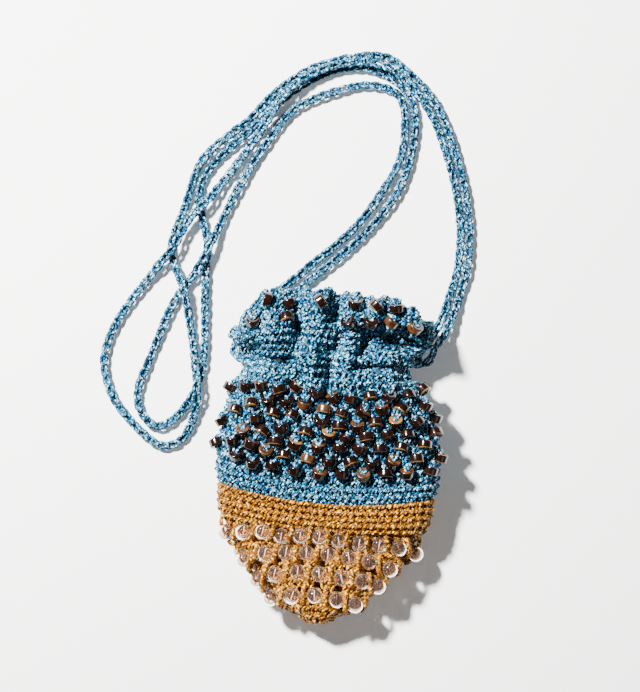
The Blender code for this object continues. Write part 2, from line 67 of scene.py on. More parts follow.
# Level along the pouch, then half width, sideways shift, height of the middle, half thickness,
# rise of the front's middle, wave height in front and behind, length of the rounded side.
LEVELS = [
    (2.5, 6.0, 0.0, 13.2, 1.8, 0.0, 0.0, 0.0, 3.0),
    (8.0, 15.0, 0.0, 13.2, 1.9, 0.5, 0.0, 0.0, 5.0),
    (14.0, 21.5, 0.0, 13.2, 1.9, 1.5, 0.0, 0.0, 7.0),
    (22.0, 29.0, 0.0, 13.3, 2.0, 5.0, 0.0, 0.0, 8.0),
    (33.0, 37.5, 0.0, 13.4, 2.1, 6.0, 0.0, 0.0, 9.0),
    (44.0, 46.0, 0.0, 13.8, 2.3, 2.5, 0.0, 0.0, 10.0),
    (51.0, 49.5, 0.0, 14.5, 2.8, 0.5, 0.0, 0.0, 12.0),
    (57.0, 55.5, 0.0, 16.0, 6.2, -2.5, 0.0, 0.0, 15.0),
    (63.0, 59.2, 0.0, 17.1, 7.7, -5.0, 0.0, 0.0, 18.0),
    (70.0, 60.4, 0.0, 17.4, 8.0, -6.5, 0.0, 0.0, 18.0),
    (78.0, 60.2, 0.0, 17.5, 8.0, -7.0, 0.0, 0.0, 18.0),
    (90.0, 59.6, 0.0, 17.6, 8.1, -6.5, 0.0, 0.0, 18.0),
    (104.0, 58.7, 0.0, 17.7, 8.2, -5.5, 0.0, 0.0, 18.0),
    (118.0, 55.5, -1.5, 17.8, 8.3, -5.0, 0.0, 0.0, 17.0),
    (131.0, 50.0, -3.0, 18.0, 8.2, -4.0, 0.8, 0.2, 15.0),
    (138.0, 45.5, -3.6, 17.4, 8.8, -2.0, 2.6, 2.4, 12.0),
    (143.8, 41.5, -4.0, 16.6, 9.3, 0.0, 4.1, 4.1, 9.5),
    (149.5, 40.5, -4.0, 16.6, 9.5, 0.0, 4.2, 4.2, 9.5),
    (155.2, 40.5, -4.0, 16.6, 9.5, 0.0, 4.2, 4.2, 9.5),
    (162.0, 45.0, -4.0, 17.8, 9.4, 0.0, 4.4, 2.8, 10.0),
    (170.0, 49.0, -4.0, 18.6, 9.5, 0.0, 4.8, 2.2, 11.0),
    (178.0, 50.5, -4.0, 19.2, 9.7, 0.0, 5.2, 2.0, 12.0),
    (186.0, 51.0, -4.0, 19.6, 10.0, 0.0, 5.4, 2.0, 13.0),
]

# Ring beads in front, by row from the neck down, as sideways place and length along the pouch.
BROWN_FRONT = {
    "a": [(-58.7, 130.6), (-50.2, 132.4), (-41.5, 133.5), (-31.2, 131.7), (-21.5, 134.0), (-10.2, 132.2),
          (-0.2, 130.0), (9.8, 129.6), (20.6, 131.8), (30.9, 133.1), (42.3, 134.0), (51.5, 138.4)],
    "b": [(-54.8, 118.6), (-46.0, 122.4), (-36.8, 125.6), (-26.5, 125.9), (-16.0, 125.2), (-4.8, 122.4),
          (5.6, 121.3), (17.0, 122.9), (27.8, 125.4), (38.8, 126.3), (52.3, 129.0)],
    "c": [(-62.0, 111.6), (-43.0, 114.6), (-33.2, 118.4), (-22.6, 118.4), (-6.1, 116.0), (4.6, 113.8),
          (14.6, 114.5), (24.8, 117.2), (36.0, 118.6), (48.0, 119.6), (58.5, 122.4)],
    "d": [(-49.5, 107.0), (-38.6, 107.6), (-28.2, 110.6), (-14.1, 109.0), (-1.6, 108.6), (9.0, 107.4),
          (20.2, 108.8), (32.1, 110.9), (43.4, 111.8), (59.2, 114.0)],
    "e": [(-64.2, 98.6), (-55.2, 100.7), (-44.6, 99.8), (-31.0, 102.6), (-19.8, 101.6), (-6.4, 100.7),
          (5.4, 101.2), (17.0, 101.7), (28.4, 102.6), (40.6, 104.7), (53.5, 107.0)],
    "f": [(-52.4, 93.4), (-36.1, 96.4), (-25.4, 95.0), (-11.7, 93.7), (0.2, 93.6), (12.4, 93.9),
          (24.3, 94.2), (36.1, 95.8), (49.6, 98.6), (63.2, 100.2)],
    "g": [(-43.0, 89.4), (-31.4, 88.2), (-18.6, 86.8), (-4.9, 86.4), (8.1, 87.0), (20.2, 87.1),
          (32.6, 88.8), (44.5, 90.4), (58.1, 92.6)],
}
# Rows of ring beads behind: level, place of the first bead and number of beads.
BROWN_BACK = {
    "a": (128.0, -39.5, 8), "b": (121.0, -41.0, 8), "c": (114.0, -46.0, 9), "d": (107.0, -40.5, 8),
    "e": (100.0, -46.0, 9), "f": (93.0, -40.5, 8), "g": (86.0, -46.0, 9),
}
BACK_PITCH = 11.5
FRILL_ROWS = {
    "upper": [(-41.4, 181.6), (-29.2, 181.0), (-11.4, 183.0), (8.0, 183.5), (20.0, 183.2), (31.4, 182.4)],
    "lower": [(-48.7, 168.9), (-29.7, 172.6), (4.9, 172.6), (17.6, 173.6), (29.2, 174.4), (42.8, 172.4)],
}
# Rows of glass beads behind: level, place of the first bead, pitch and number of beads.
GLASS_BACK = {
    1: (45.0, -42.0, 12.0, 8), 2: (34.5, -30.0, 12.0, 6),
    3: (24.0, -24.0, 12.0, 5), 4: (13.0, -14.0, 11.5, 3),
}

# Routes of the two loops that leave the neck and lie on the floor.
LEFT_ROUTE = [
    (-52.34, 147, 15.2), (-54.2, 147, 13.6), (-58.7, 150.8, 9.6), (-58, 157.8, 4.3),
    (-52.6, 166.5, 2.2), (-44.5, 177.3, 2.2), (-36, 187.4, 2.2), (-26.2, 196.5, 2.2),
    (-15.8, 206.7, 2.2), (-4.9, 217.1, 2.2), (4.3, 227, 2.2), (12.2, 237.8, 2.2), (19.4, 250.2, 2.2),
    (25.4, 262, 2.2), (28.4, 273.5, 2.2), (28.7, 286.2, 2.2), (27.2, 297.8, 2.2), (22, 305.7, 2.2),
    (12.1, 308.7, 2.2), (0.8, 308.3, 2.2), (-11.3, 304.4, 2.2), (-23.7, 299, 2.2), (-34.2, 292.7, 2.2),
    (-42, 284.1, 2.2), (-49.1, 272.1, 2.2), (-56.6, 258.9, 2.2), (-62.7, 246.5, 2.3),
    (-68.3, 233.2, 2.2), (-72.9, 221.8, 3.5), (-77.2, 210.5, 6.7), (-81.2, 200.6, 6.4),
    (-86.6, 190.4, 3.3), (-92.9, 181, 2.3), (-97.9, 169.9, 2.3), (-102.6, 155.8, 2.2),
    (-107.3, 141.2, 2.2), (-111.3, 128.3, 2.2), (-111.5, 117.9, 2.2), (-106.8, 109.2, 2.2),
    (-99.2, 104.7, 2.2), (-91.2, 108.7, 2.2), (-84.2, 117.5, 2.2), (-78.9, 128.5, 2.2),
    (-76.3, 140.4, 2.2), (-75.8, 153.4, 2.2), (-76.7, 167.6, 2.2), (-77.9, 182.9, 2.2),
    (-78.5, 197.1, 2.2), (-79.2, 209.8, 2.2), (-82, 223.1, 2.2), (-85.5, 235.5, 2.2),
    (-84.8, 245.8, 2.2), (-79.7, 256, 2.2), (-71.6, 265.7, 2.2), (-61.5, 275.7, 2.2),
    (-52.8, 285.8, 2.2), (-43.5, 296.1, 2.2), (-33.7, 304.9, 2.2), (-23, 311.9, 2.2),
    (-11.7, 316.7, 2.2), (-0.1, 318.7, 2.2), (11, 317.2, 2.2), (21.5, 312.3, 2.2), (29.5, 305, 2.2),
    (33.6, 295.2, 2.2), (34.6, 283.2, 2.2), (33.4, 270.4, 2.2), (30.5, 257.5, 2.2), (25.9, 245.9, 2.2),
    (19, 235, 2.2), (10.3, 223.7, 2.2), (1, 213.5, 2.2), (-9.6, 203.5, 2.2), (-19.8, 193.8, 2.2),
    (-29, 183.2, 2.2), (-38.5, 172.2, 2.2), (-46.9, 161.3, 2.2), (-53.1, 153.2, 3.6),
    (-54.4, 147, 7.85), (-52.4, 147, 8),
]
RIGHT_ROUTE = [
    (44.34, 152, 15.2), (46, 152, 13.8), (47.5, 161.5, 11.9), (54, 169.4, 7.9), (58.6, 179.7, 4.6),
    (61.7, 191.7, 2.3), (64.7, 203.9, 2.3), (65.7, 217.2, 2.2), (65, 230.9, 2.2), (62.4, 245, 2.2),
    (58.8, 258.9, 2.3), (53.8, 272.7, 2.4), (48.2, 286.2, 2.6), (41.6, 297.4, 2.9), (33.5, 307.3, 4.1),
    (24.5, 315.2, 5.5), (13.9, 320.1, 6.6), (2.2, 321.6, 6.8), (-10.3, 319.8, 6.6),
    (-22.1, 315.4, 6.7), (-32.7, 308.6, 6.8), (-41.1, 299.7, 7.3), (-47.4, 289.2, 7),
    (-53.3, 277.9, 4.3), (-59.8, 267.1, 2.7), (-67.2, 255.3, 2.4), (-74.3, 244.7, 3.2),
    (-81.1, 235.1, 6.2), (-88, 227.1, 6.4), (-93.8, 217.2, 5.8), (-98.2, 206.9, 7.5),
    (-104.6, 198.2, 5.1), (-111.5, 187.8, 2.4), (-119, 176.8, 2.3), (-126.1, 164.7, 2.3),
    (-130.8, 152.6, 2.2), (-132.6, 140.8, 2.2), (-130.2, 129.2, 2.2), (-124.9, 118.2, 2.2),
    (-116.4, 108.6, 2.2), (-106.2, 99.6, 2.2), (-96.7, 94.2, 2.3), (-87.7, 96.1, 2.3),
    (-81.5, 104, 2.3), (-78.4, 114.8, 3.5), (-77.9, 125.9, 7), (-79.4, 137.1, 6.5),
    (-81.9, 149.7, 3.4), (-84.4, 161.1, 3), (-87.5, 174.3, 5.6), (-90.9, 185.7, 7.2),
    (-96.1, 196.1, 4.2), (-99.5, 206.1, 2.2), (-97.6, 217.4, 2.2), (-93.4, 230.6, 2.2),
    (-90.6, 244, 2.2), (-86.9, 256, 2.2), (-79.9, 265.9, 2.2), (-70, 275.3, 2.2), (-60.4, 284.5, 2.2),
    (-51.2, 295.5, 2.2), (-41.7, 305.4, 2.2), (-31.1, 313.4, 2.2), (-19.5, 319.4, 2.2),
    (-6.7, 323.4, 2.2), (6.1, 326.4, 2.2), (16.7, 325.6, 2.2), (26.8, 319, 2.2), (37.2, 310.4, 2.2),
    (45.7, 300.4, 2.2), (52.4, 289, 2.2), (58.1, 275.8, 2.2), (63.3, 261.8, 2.2), (67, 248, 2.2),
    (69.7, 233.7, 2.2), (70.8, 220.1, 2.2), (70.3, 206.4, 2.3), (67.8, 193.9, 2.2), (64.7, 182, 3.8),
    (60.3, 169.9, 6.8), (55.2, 161.6, 9.7), (53, 154.6, 8), (46.6, 152, 7.85), (44.4, 152, 8),
]


# The fabric's shape

TABLE = np.array(LEVELS)
RIM_FALL_LEFT = 26.0
RIM_FALL_RIGHT = 14.0
TIP_ROUND = 3.0


def eased_table(fine):
    """Columns of the level table at many levels, eased between its rows."""
    x, y = TABLE[:, 0], TABLE[:, 1:]
    step = np.diff(x)[:, None]
    rate = np.diff(y, axis=0) / step
    slope = np.zeros_like(y)
    product = rate[:-1] * rate[1:]
    both = np.where(rate[:-1] + rate[1:] == 0, 1.0, rate[:-1] + rate[1:])
    slope[1:-1] = np.where(product > 0, 2 * product / both, 0.0)
    i = np.clip(np.searchsorted(x, fine) - 1, 0, len(x) - 2)
    span = step[i]
    t = ((fine - x[i]) / step[i, 0])[:, None]
    return ((2 * t**3 - 3 * t**2 + 1) * y[i] + (t**3 - 2 * t**2 + t) * slope[i] * span
            + (-2 * t**3 + 3 * t**2) * y[i + 1] + (t**3 - t**2) * slope[i + 1] * span)


FINE = np.arange(TIP_LEVEL, TOP_LEVEL + 0.01, 0.25)
FINE_TABLE = eased_table(FINE)


def surface(u, level, lift=0.0, wave=1.0):
    """Points on the fabric's middle, lifted outward, in millimetres before the origin is taken off."""
    u, level, lift, wave = np.broadcast_arrays(*(np.asarray(a, float) for a in (u, level, lift, wave)))
    u = u % 1.0
    lv = np.clip(level, TIP_LEVEL, TOP_LEVEL)
    width, shift, middle, half, rise, front_wave, back_wave, side = (
        np.interp(lv, FINE, FINE_TABLE[:, k]) for k in range(8))
    flip = np.where(u <= 0.5, 1.0, -1.0)
    v = np.where(u <= 0.5, u, 1 - u)
    right, left = v < CORNER_SHARE, v > 0.5 - CORNER_SHARE
    turn = np.where(right, v, 0.5 - v) / CORNER_SHARE * math.pi / 2
    turn = np.clip(turn, 0, math.pi / 2)
    sign = np.where(left, -1.0, 1.0)
    corner = right | left
    along = (v - CORNER_SHARE) / (0.5 - 2 * CORNER_SHARE)
    x = np.where(corner, sign * (width - side + side * np.cos(turn)), (width - side) * (1 - 2 * along))
    z = np.where(corner, half * np.sin(turn), half) * flip
    nx = np.where(corner, sign * np.cos(turn) / side, 0.0)
    nz = np.where(corner, np.sin(turn) / half, 1.0) * flip
    size = np.hypot(nx, nz)
    nx, nz = nx / size, nz / size
    share = 0.5 + 0.5 * nz
    out = (front_wave * share + back_wave * (1 - share)) * np.cos(TURN * WAVES * u) * wave + lift
    y = lv + np.where(nz > 0, rise * (1 - np.minimum((x / width) ** 2, 1.0)) * share, 0.0)
    fall = np.clip((lv - EYELET_HIGH) / (TOP_LEVEL - EYELET_HIGH), 0, 1)
    y = y - fall * np.where(x < 0, RIM_FALL_LEFT, RIM_FALL_RIGHT) * np.minimum(np.abs(x) / width, 1.0) ** 6
    past = np.clip(1 - level / TIP_LEVEL, 0, 1)
    shrink = np.sqrt(np.clip(1 - past**2, 0, 1))
    y = y - TIP_ROUND * past + np.maximum(level - TOP_LEVEL, 0)
    return np.stack([shift + (x + nx * out) * shrink, y, middle + (z + nz * out) * shrink], -1)


# Folds and hollows of the front at the neck and in the frill: both ends' sideways place and length
# along the pouch, reach and height.
FRONT_FOLDS = [
    ((-3.5, 122.0), (-4.0, 149.0), 2.4, -7.0), ((-4.0, 149.0), (-6.0, 156.0), 2.4, -4.0),
    ((-0.5, 158.0), (0.5, 164.5), 3.2, -9.0), ((-56.0, 145.0), (-26.0, 148.0), 3.2, -9.5),
    ((-48.0, 160.0), (-36.0, 164.0), 10.5, 6.0), ((-46.0, 138.0), (-24.0, 139.0), 4.5, 3.0),
    ((-23.0, 147.0), (-19.0, 137.0), 2.6, -5.0), ((-28.0, 174.0), (-19.0, 162.0), 3.6, -7.0),
    ((-24.0, 160.0), (-26.0, 150.0), 2.4, -4.0), ((-16.0, 150.0), (-10.0, 182.0), 5.6, 5.5),
    ((6.0, 153.0), (7.0, 165.0), 4.6, 6.0), ((13.5, 151.0), (40.0, 155.5), 2.4, 2.6),
    ((12.0, 147.0), (36.0, 150.0), 2.0, -4.5), ((17.0, 165.0), (48.0, 162.0), 7.0, -9.0),
    ((33.0, 168.0), (48.0, 166.0), 5.0, -5.0), ((12.0, 178.0), (42.0, 176.0), 5.0, 4.5),
    ((-33.0, 176.0), (-30.0, 187.0), 3.0, -3.0), ((-2.0, 173.0), (-1.0, 187.0), 2.6, -5.0),
    ((22.0, 176.0), (24.0, 187.0), 2.4, -3.0), ((4.0, 139.0), (38.0, 140.0), 6.0, 2.4),
    ((-14.0, 130.0), (-13.0, 146.0), 4.0, 2.6), ((13.0, 156.0), (14.0, 163.0), 2.2, -5.0),
]
# Height of the rim's scallops in front, by sideways place.
RIM = [
    (-56.0, 0.0), (-45.0, 4.5), (-32.0, 1.8), (-20.4, -4.5), (-9.0, 3.6), (1.0, -1.5), (8.0, 1.6),
    (13.0, -1.0), (19.0, 0.6), (24.0, -1.6), (30.0, 1.0), (36.0, -1.0), (41.0, 1.2), (48.0, 3.5), (54.0, 0.0),
]
# How far the visible yarn is drawn in at the pouch's two sides, by level.
SIDE_PULL = [
    (0.0, 3.0), (5.0, 4.0), (12.0, 4.5), (48.0, 4.0), (60.0, 3.2), (76.0, 2.6), (85.0, 0.0), (133.0, 0.0),
    (141.0, 2.4), (149.0, 2.4), (158.0, 0.0),
]
# How far the visible yarn's middle stands outside the middle of the fabric's thickness, by level.
SHOWN_LIFT = [
    (0.0, 2.2), (2.5, 3.4), (9.0, 5.6), (50.0, 5.6), (57.0, 3.6), (66.0, 2.2), (82.0, 1.9), (132.0, 2.6),
    (146.0, 1.2), (186.0, 0.6),
]
GATHER_LEVEL = 130.0
GATHER_RUN = 13.0
RIM_RUN = 12.0
SCALLOP_LEVEL = 168.0
SCALLOP_RUN = 16.0
# Above this level the visible yarn and the skin behind it stay clear of the floor.
CLEAR_LEVEL = 128.0
YARN_CLEAR = 3.8
SKIN_CLEAR = 5.2


def between(pairs, place):
    """Value at a place, straight between the pairs."""
    places, values = np.array(pairs).T
    return np.interp(place, places, values)


def front_folds(p):
    """Height of the front's folds and hollows at points on the fabric."""
    high = np.zeros(p.shape[:-1])
    for one, two, reach, height in FRONT_FOLDS:
        one, run = np.array(one), np.array(two) - np.array(one)
        away = p[..., :2] - one
        t = np.clip((away @ run) / (run @ run), 0, 1)
        gap = np.linalg.norm(away - t[..., None] * run, axis=-1)
        high = high + height * np.exp(-(gap / reach) ** 2)
    return high


def folds(u, level):
    """Extra height, extra length and share of the plain waves of the visible folds."""
    u = u % 1.0
    neck = np.clip((level - GATHER_LEVEL) / GATHER_RUN, 0, 1)
    rim = np.clip((level - EYELET_HIGH) / RIM_RUN, 0, 1)
    front = np.clip(np.sin(TURN * u) * 2.5, 0, 1)
    lumps = (np.sin(TURN * 13 * u + 2.1 + level * 0.07)
             + 0.6 * np.sin(TURN * 23 * u - level * 0.11)
             + 0.7 * np.sin(TURN * 5 * u + level * 0.19))
    pleats = 0.7 * np.cos(TURN * 37 * u + 1.5 * np.sin(TURN * 3 * u)) * (1 - rim)
    base = surface(u, level, 0.0, 0.0)
    high = neck * front * (2.4 + pleats + front_folds(base)) + neck * (1 - front) * 0.8 + 1.2 * rim * lumps
    high = high - between(SIDE_PULL, level) * np.cos(TURN * u) ** 6
    long = (2.4 * np.cos(TURN * WAVES * u + 0.5) * (1 - front)
            + front * between(RIM, base[..., 0]))
    long = np.clip((level - SCALLOP_LEVEL) / SCALLOP_RUN, 0, 1) * (
        long + 1.0 * np.sin(TURN * 31 * u + 1.0) + 0.6 * np.sin(TURN * 53 * u))
    return high, long, 1 - 0.92 * neck * front


def shown(u, level, lift=0.0):
    """Points of the visible fabric; given one level for all points, they stay as high as the skin."""
    high, long, wave = folds(np.asarray(u, float), np.asarray(level, float))
    p = surface(u, level, lift + high, wave)
    p[..., 1] += long
    low = SKIN_CLEAR if np.ndim(level) == 0 else YARN_CLEAR
    p[..., 2] = np.where(np.asarray(level) > CLEAR_LEVEL, np.maximum(p[..., 2], low), p[..., 2])
    return p


def run_along(line):
    """Distance of each point of a line from its start."""
    return np.concatenate([[0], np.cumsum(np.linalg.norm(np.diff(line, axis=0), axis=1))])


def ring_table(level, count=720):
    """Shares of the way round at a level and the distances that belong to them."""
    u = np.linspace(0, 1, count + 1)
    return u, run_along(shown(u, level, between(SHOWN_LIFT, level)))


def normals(u, level, lift):
    """Outward directions of the visible fabric."""
    share_step, level_step = 0.0008, 0.4
    across = shown(u + share_step, level, lift) - shown(u - share_step, level, lift)
    level = np.clip(level, 0.5, TOP_LEVEL - 0.5)
    up = shown(u, level + level_step, lift) - shown(u, level - level_step, lift)
    n = np.cross(up, across)
    n /= np.linalg.norm(n, axis=-1, keepdims=True) + TINY
    return n


# Meshes

class Build:
    """Collects points and faces of many small closed pieces."""

    def __init__(self):
        self.points, self.faces, self.index, self.count = [], [], [], 0

    def add(self, points, faces, mat=0):
        """Adds points and their faces, given as an array or as lists."""
        points = points.reshape(-1, 3)
        self.points.append(points)
        if isinstance(faces, np.ndarray):
            self.faces += (faces + self.count).tolist()
        else:
            self.faces += [[int(v) + self.count for v in face] for face in faces]
        self.index += [mat] * len(faces)
        self.count += len(points)

    def join(self, other):
        """Adds all that another build holds."""
        self.points += other.points
        self.faces += [[v + self.count for v in face] for face in other.faces]
        self.index += other.index
        self.count += other.count

    def tubes(self, paths, radius, sides, ref, closed=False, mat=0):
        """Tubes along paths shaped (number, points, 3); ref is a direction that isn't along them."""
        number, length, _ = paths.shape
        if closed:
            tangent = np.roll(paths, -1, 1) - np.roll(paths, 1, 1)
        else:
            tangent = np.gradient(paths, axis=1)
        tangent /= np.linalg.norm(tangent, axis=-1, keepdims=True) + TINY
        if np.ndim(ref) == 2:
            ref = ref[:, None]
        one = np.cross(tangent, np.broadcast_to(ref, paths.shape))
        one /= np.linalg.norm(one, axis=-1, keepdims=True) + TINY
        two = np.cross(one, tangent)
        thick = np.broadcast_to(radius, (number, length))[:, :, None, None]
        turn = np.arange(sides) * 2 * math.pi / sides
        c, s = np.cos(turn)[:, None], np.sin(turn)[:, None]
        ring = paths[:, :, None] + thick * (one[:, :, None] * c + two[:, :, None] * s)
        base = np.arange(number)[:, None, None] * length * sides
        rows = length if closed else length - 1
        here = base + np.arange(rows)[None, :, None] * sides
        after = base + (np.arange(1, rows + 1) % length)[None, :, None] * sides
        q = np.arange(sides)[None, None, :]
        n = (q + 1) % sides
        quads = np.stack([here + q, here + n, after + n, after + q], -1).reshape(-1, 4)
        self.add(ring, quads, mat)
        if closed:
            return
        start = self.count - number * length * sides + np.arange(number)[:, None] * length * sides
        first = start + np.arange(sides)[::-1]
        last = start + (length - 1) * sides + np.arange(sides)
        caps = first.tolist() + last.tolist()
        self.faces += caps
        self.index += [mat] * len(caps)

    def piece(self, name, mats, cad, slot):
        """The collected mesh as one visible piece in place of a solid."""
        mesh = bpy.data.meshes.new(name)
        points = np.vstack(self.points)
        mesh.from_pydata(((points - ORIGIN) * MM).tolist(), [], self.faces)
        mesh.polygons.foreach_set("use_smooth", [True] * len(mesh.polygons))
        for mat in mats:
            mesh.materials.append(mat)
        mesh.polygons.foreach_set("material_index", self.index)
        mesh.update()
        item = bpy.data.objects.new(name, mesh)
        bpy.context.scene.collection.objects.link(item)
        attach(item, "root")
        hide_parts(cad)
        return item


# Materials

# Sockets of a colour mix: its two colours and its result.
MIX_ONE, MIX_TWO, MIX_OUT = 6, 7, 2
STROKE = (0.85, 2.0, 0.85)


def shader(name, roughness):
    mat = bpy.data.materials.new(name)
    mat.use_nodes = True
    nodes = mat.node_tree.nodes
    bsdf = nodes["Principled BSDF"]
    bsdf.inputs["Roughness"].default_value = roughness
    return mat, nodes, mat.node_tree.links, bsdf


def ramp(nodes, stops):
    node = nodes.new("ShaderNodeValToRGB")
    while len(node.color_ramp.elements) < len(stops):
        node.color_ramp.elements.new(0.5)
    for element, (place, colour) in zip(node.color_ramp.elements, stops):
        element.position = place
        element.color = (*colour, 1.0)
    return node


def noise(nodes, links, coords, scale, detail=2.0, rough=0.5, stretch=None):
    node = nodes.new("ShaderNodeTexNoise")
    node.inputs["Scale"].default_value = scale
    node.inputs["Detail"].default_value = detail
    node.inputs["Roughness"].default_value = rough
    if stretch:
        mapping = nodes.new("ShaderNodeMapping")
        mapping.inputs["Scale"].default_value = stretch
        links.new(coords, mapping.inputs["Vector"])
        coords = mapping.outputs["Vector"]
    links.new(coords, node.inputs["Vector"])
    return node


def bump(nodes, links, bsdf, height, strength, distance):
    node = nodes.new("ShaderNodeBump")
    node.inputs["Strength"].default_value = strength
    node.inputs["Distance"].default_value = distance
    links.new(height, node.inputs["Height"])
    links.new(node.outputs["Normal"], bsdf.inputs["Normal"])


def colour_mix(nodes, blend="MIX"):
    node = nodes.new("ShaderNodeMix")
    node.data_type = "RGBA"
    node.blend_type = blend
    return node


def marled_yarn(name, stops, other, scale, gloss, tint=(1.0, 1.0, 1.0)):
    """Yarn with flecks from dark to light in two hues that change along the strands. Where the given stops
    end in near white or bright orange, those flecks are partly painted glints.
    """
    mat, nodes, links, bsdf = shader(name, 0.42)
    coords = nodes.new("ShaderNodeTexCoord").outputs["Object"]
    hues = noise(nodes, links, coords, scale * 0.55, 1.0)
    pick = ramp(nodes, [(0.45, (0, 0, 0)), (0.55, (1, 1, 1))])
    links.new(hues.outputs["Fac"], pick.inputs["Fac"])
    both = colour_mix(nodes)
    links.new(pick.outputs["Color"], both.inputs["Factor"])
    for places, socket, slant in ((stops, MIX_ONE, 0.75), (other, MIX_TWO, -0.65)):
        strokes = nodes.new("ShaderNodeMapping")
        strokes.vector_type = "TEXTURE"
        strokes.inputs["Rotation"].default_value = (0.0, 0.0, slant)
        strokes.inputs["Scale"].default_value = STROKE
        links.new(coords, strokes.inputs["Vector"])
        flecks = noise(nodes, links, strokes.outputs["Vector"], scale, 1.0, 0.5)
        colour = ramp(nodes, places)
        links.new(flecks.outputs["Fac"], colour.inputs["Fac"])
        links.new(colour.outputs["Color"], both.inputs[socket])
    wide = noise(nodes, links, coords, 70.0, 1.0)
    shade = ramp(nodes, [(0.3, (0.78, 0.78, 0.80)), (0.7, (1.0, 1.0, 1.0))])
    links.new(wide.outputs["Fac"], shade.inputs["Fac"])
    mix = colour_mix(nodes, "MULTIPLY")
    mix.inputs["Factor"].default_value = 1.0
    links.new(both.outputs[MIX_OUT], mix.inputs[MIX_ONE])
    links.new(shade.outputs["Color"], mix.inputs[MIX_TWO])
    links.new(mix.outputs[MIX_OUT], bsdf.inputs["Base Color"])
    fibre = noise(nodes, links, coords, scale * 2.4, 3.0, 0.6)
    bump(nodes, links, bsdf, fibre.outputs["Fac"], 0.6, 0.0004)
    bsdf.inputs["Specular IOR Level"].default_value = gloss
    bsdf.inputs["Specular Tint"].default_value = (*tint, 1.0)
    return mat


# The blue, teal and cord stops run from the yarn's own navy to near white; the near-white flecks are partly
# the yarn's pale plies and partly painted glints.
BLUE_STOPS = [(0.41, (0.000, 0.007, 0.024)), (0.495, (0.002, 0.036, 0.115)), (0.56, (0.006, 0.110, 0.290)),
              (0.63, (0.035, 0.290, 0.540)), (0.70, (0.80, 1.0, 1.0))]
TEAL_STOPS = [(0.40, (0.001, 0.009, 0.015)), (0.485, (0.007, 0.050, 0.075)), (0.55, (0.020, 0.160, 0.220)),
              (0.62, (0.120, 0.410, 0.490)), (0.69, (0.95, 1.0, 0.97))]
CORD_STOPS = [(place + 0.005, colour) for place, colour in BLUE_STOPS]
CORD_TEAL = [(place + 0.005, colour) for place, colour in TEAL_STOPS]
BLUE_FLECKS = 940.0
BLUE_GLOSS = 0.11
BLUE_TINT = (0.80, 0.95, 1.0)
BLUE = marled_yarn("blue_marled_yarn", BLUE_STOPS, TEAL_STOPS, BLUE_FLECKS, BLUE_GLOSS, BLUE_TINT)
CORD_BLUE = marled_yarn("blue_cord_yarn", CORD_STOPS, CORD_TEAL, BLUE_FLECKS, BLUE_GLOSS, BLUE_TINT)
# Darker blue for the skin behind the stitches: painted shade that stands for the shadow inside the crochet,
# seen between the stitches.
BLUE_PAINTED_SHADE = marled_yarn("blue_yarn_painted_shade", [
    (0.38, (0.001, 0.003, 0.008)), (0.55, (0.002, 0.020, 0.045)), (0.66, (0.020, 0.090, 0.150))], [
    (0.38, (0.001, 0.003, 0.005)), (0.66, (0.010, 0.050, 0.060))], 900.0, 0.05)
# The gold's brightest orange stops are partly the yarn's own lighter tone and partly painted glints on the
# shiny yarn.
GOLD = marled_yarn("gold_yarn", [
    (0.38, (0.060, 0.011, 0.000)), (0.475, (0.150, 0.038, 0.000)), (0.56, (0.260, 0.086, 0.002)),
    (0.62, (0.560, 0.230, 0.014)), (0.68, (1.00, 0.60, 0.12))], [
    (0.38, (0.050, 0.014, 0.000)), (0.475, (0.135, 0.044, 0.001)), (0.56, (0.245, 0.096, 0.004)),
    (0.62, (0.540, 0.255, 0.024)), (0.68, (1.00, 0.67, 0.19))], 860.0, 0.30, (1.0, 0.74, 0.36))
# Darker gold for the skin behind the net: painted shade that stands for the shadow seen through the net's
# gaps.
GOLD_PAINTED_SHADE = marled_yarn("gold_yarn_painted_shade", [
    (0.38, (0.030, 0.006, 0.000)), (0.55, (0.075, 0.020, 0.001)), (0.66, (0.16, 0.055, 0.005))], [
    (0.38, (0.022, 0.006, 0.000)), (0.66, (0.12, 0.05, 0.008))], 760.0, 0.05)


def mottled(name, roughness, stops, scale, detail=2.0, rough=0.5, stretch=None):
    """Material whose colour wanders between two shades."""
    mat, nodes, links, bsdf = shader(name, roughness)
    coords = nodes.new("ShaderNodeTexCoord").outputs["Object"]
    grain = noise(nodes, links, coords, scale, detail, rough, stretch)
    colour = ramp(nodes, stops)
    links.new(grain.outputs["Fac"], colour.inputs["Fac"])
    links.new(colour.outputs["Color"], bsdf.inputs["Base Color"])
    return mat, nodes, links, bsdf, grain


def bead_wood(name, dark, light, roughness):
    mat, nodes, links, bsdf, grain = mottled(name, roughness, [(0.35, dark), (0.7, light)], 260.0, 3.0, 0.6,
                                             (1.0, 1.0, 3.0))
    bsdf.inputs["Coat Weight"].default_value = 0.25
    bsdf.inputs["Coat Roughness"].default_value = 0.05
    bump(nodes, links, bsdf, grain.outputs["Fac"], 0.08, 0.0003)
    return mat


BROWN = bead_wood("dark_brown_bead", (0.002, 0.0006, 0.0004), (0.011, 0.0026, 0.0012), 0.15)
BEAD_FACE = bead_wood("bead_end_grain", (0.016, 0.005, 0.0015), (0.090, 0.032, 0.008), 0.28)
AMBER = bead_wood("amber_bead", (0.060, 0.020, 0.004), (0.29, 0.135, 0.030), 0.22)


def bead_glass():
    # The rose-brown tint is partly the glass's own smoky colour and partly painted shade for the shadowed
    # yarn seen through the bead.
    stops = [(0.3, (0.56, 0.36, 0.27)), (0.7, (0.78, 0.58, 0.48))]
    mat, _, _, bsdf, _ = mottled("clear_bead_glass", 0.02, stops, 120.0)
    bsdf.inputs["Transmission Weight"].default_value = 0.97
    bsdf.inputs["IOR"].default_value = 1.45
    return mat


BORE = mottled("frosted_bore", 0.4, [(0.3, (0.62, 0.55, 0.50)), (0.7, (0.90, 0.86, 0.82))], 900.0)[0]
GLASS = bead_glass()


# Camera, floor and light

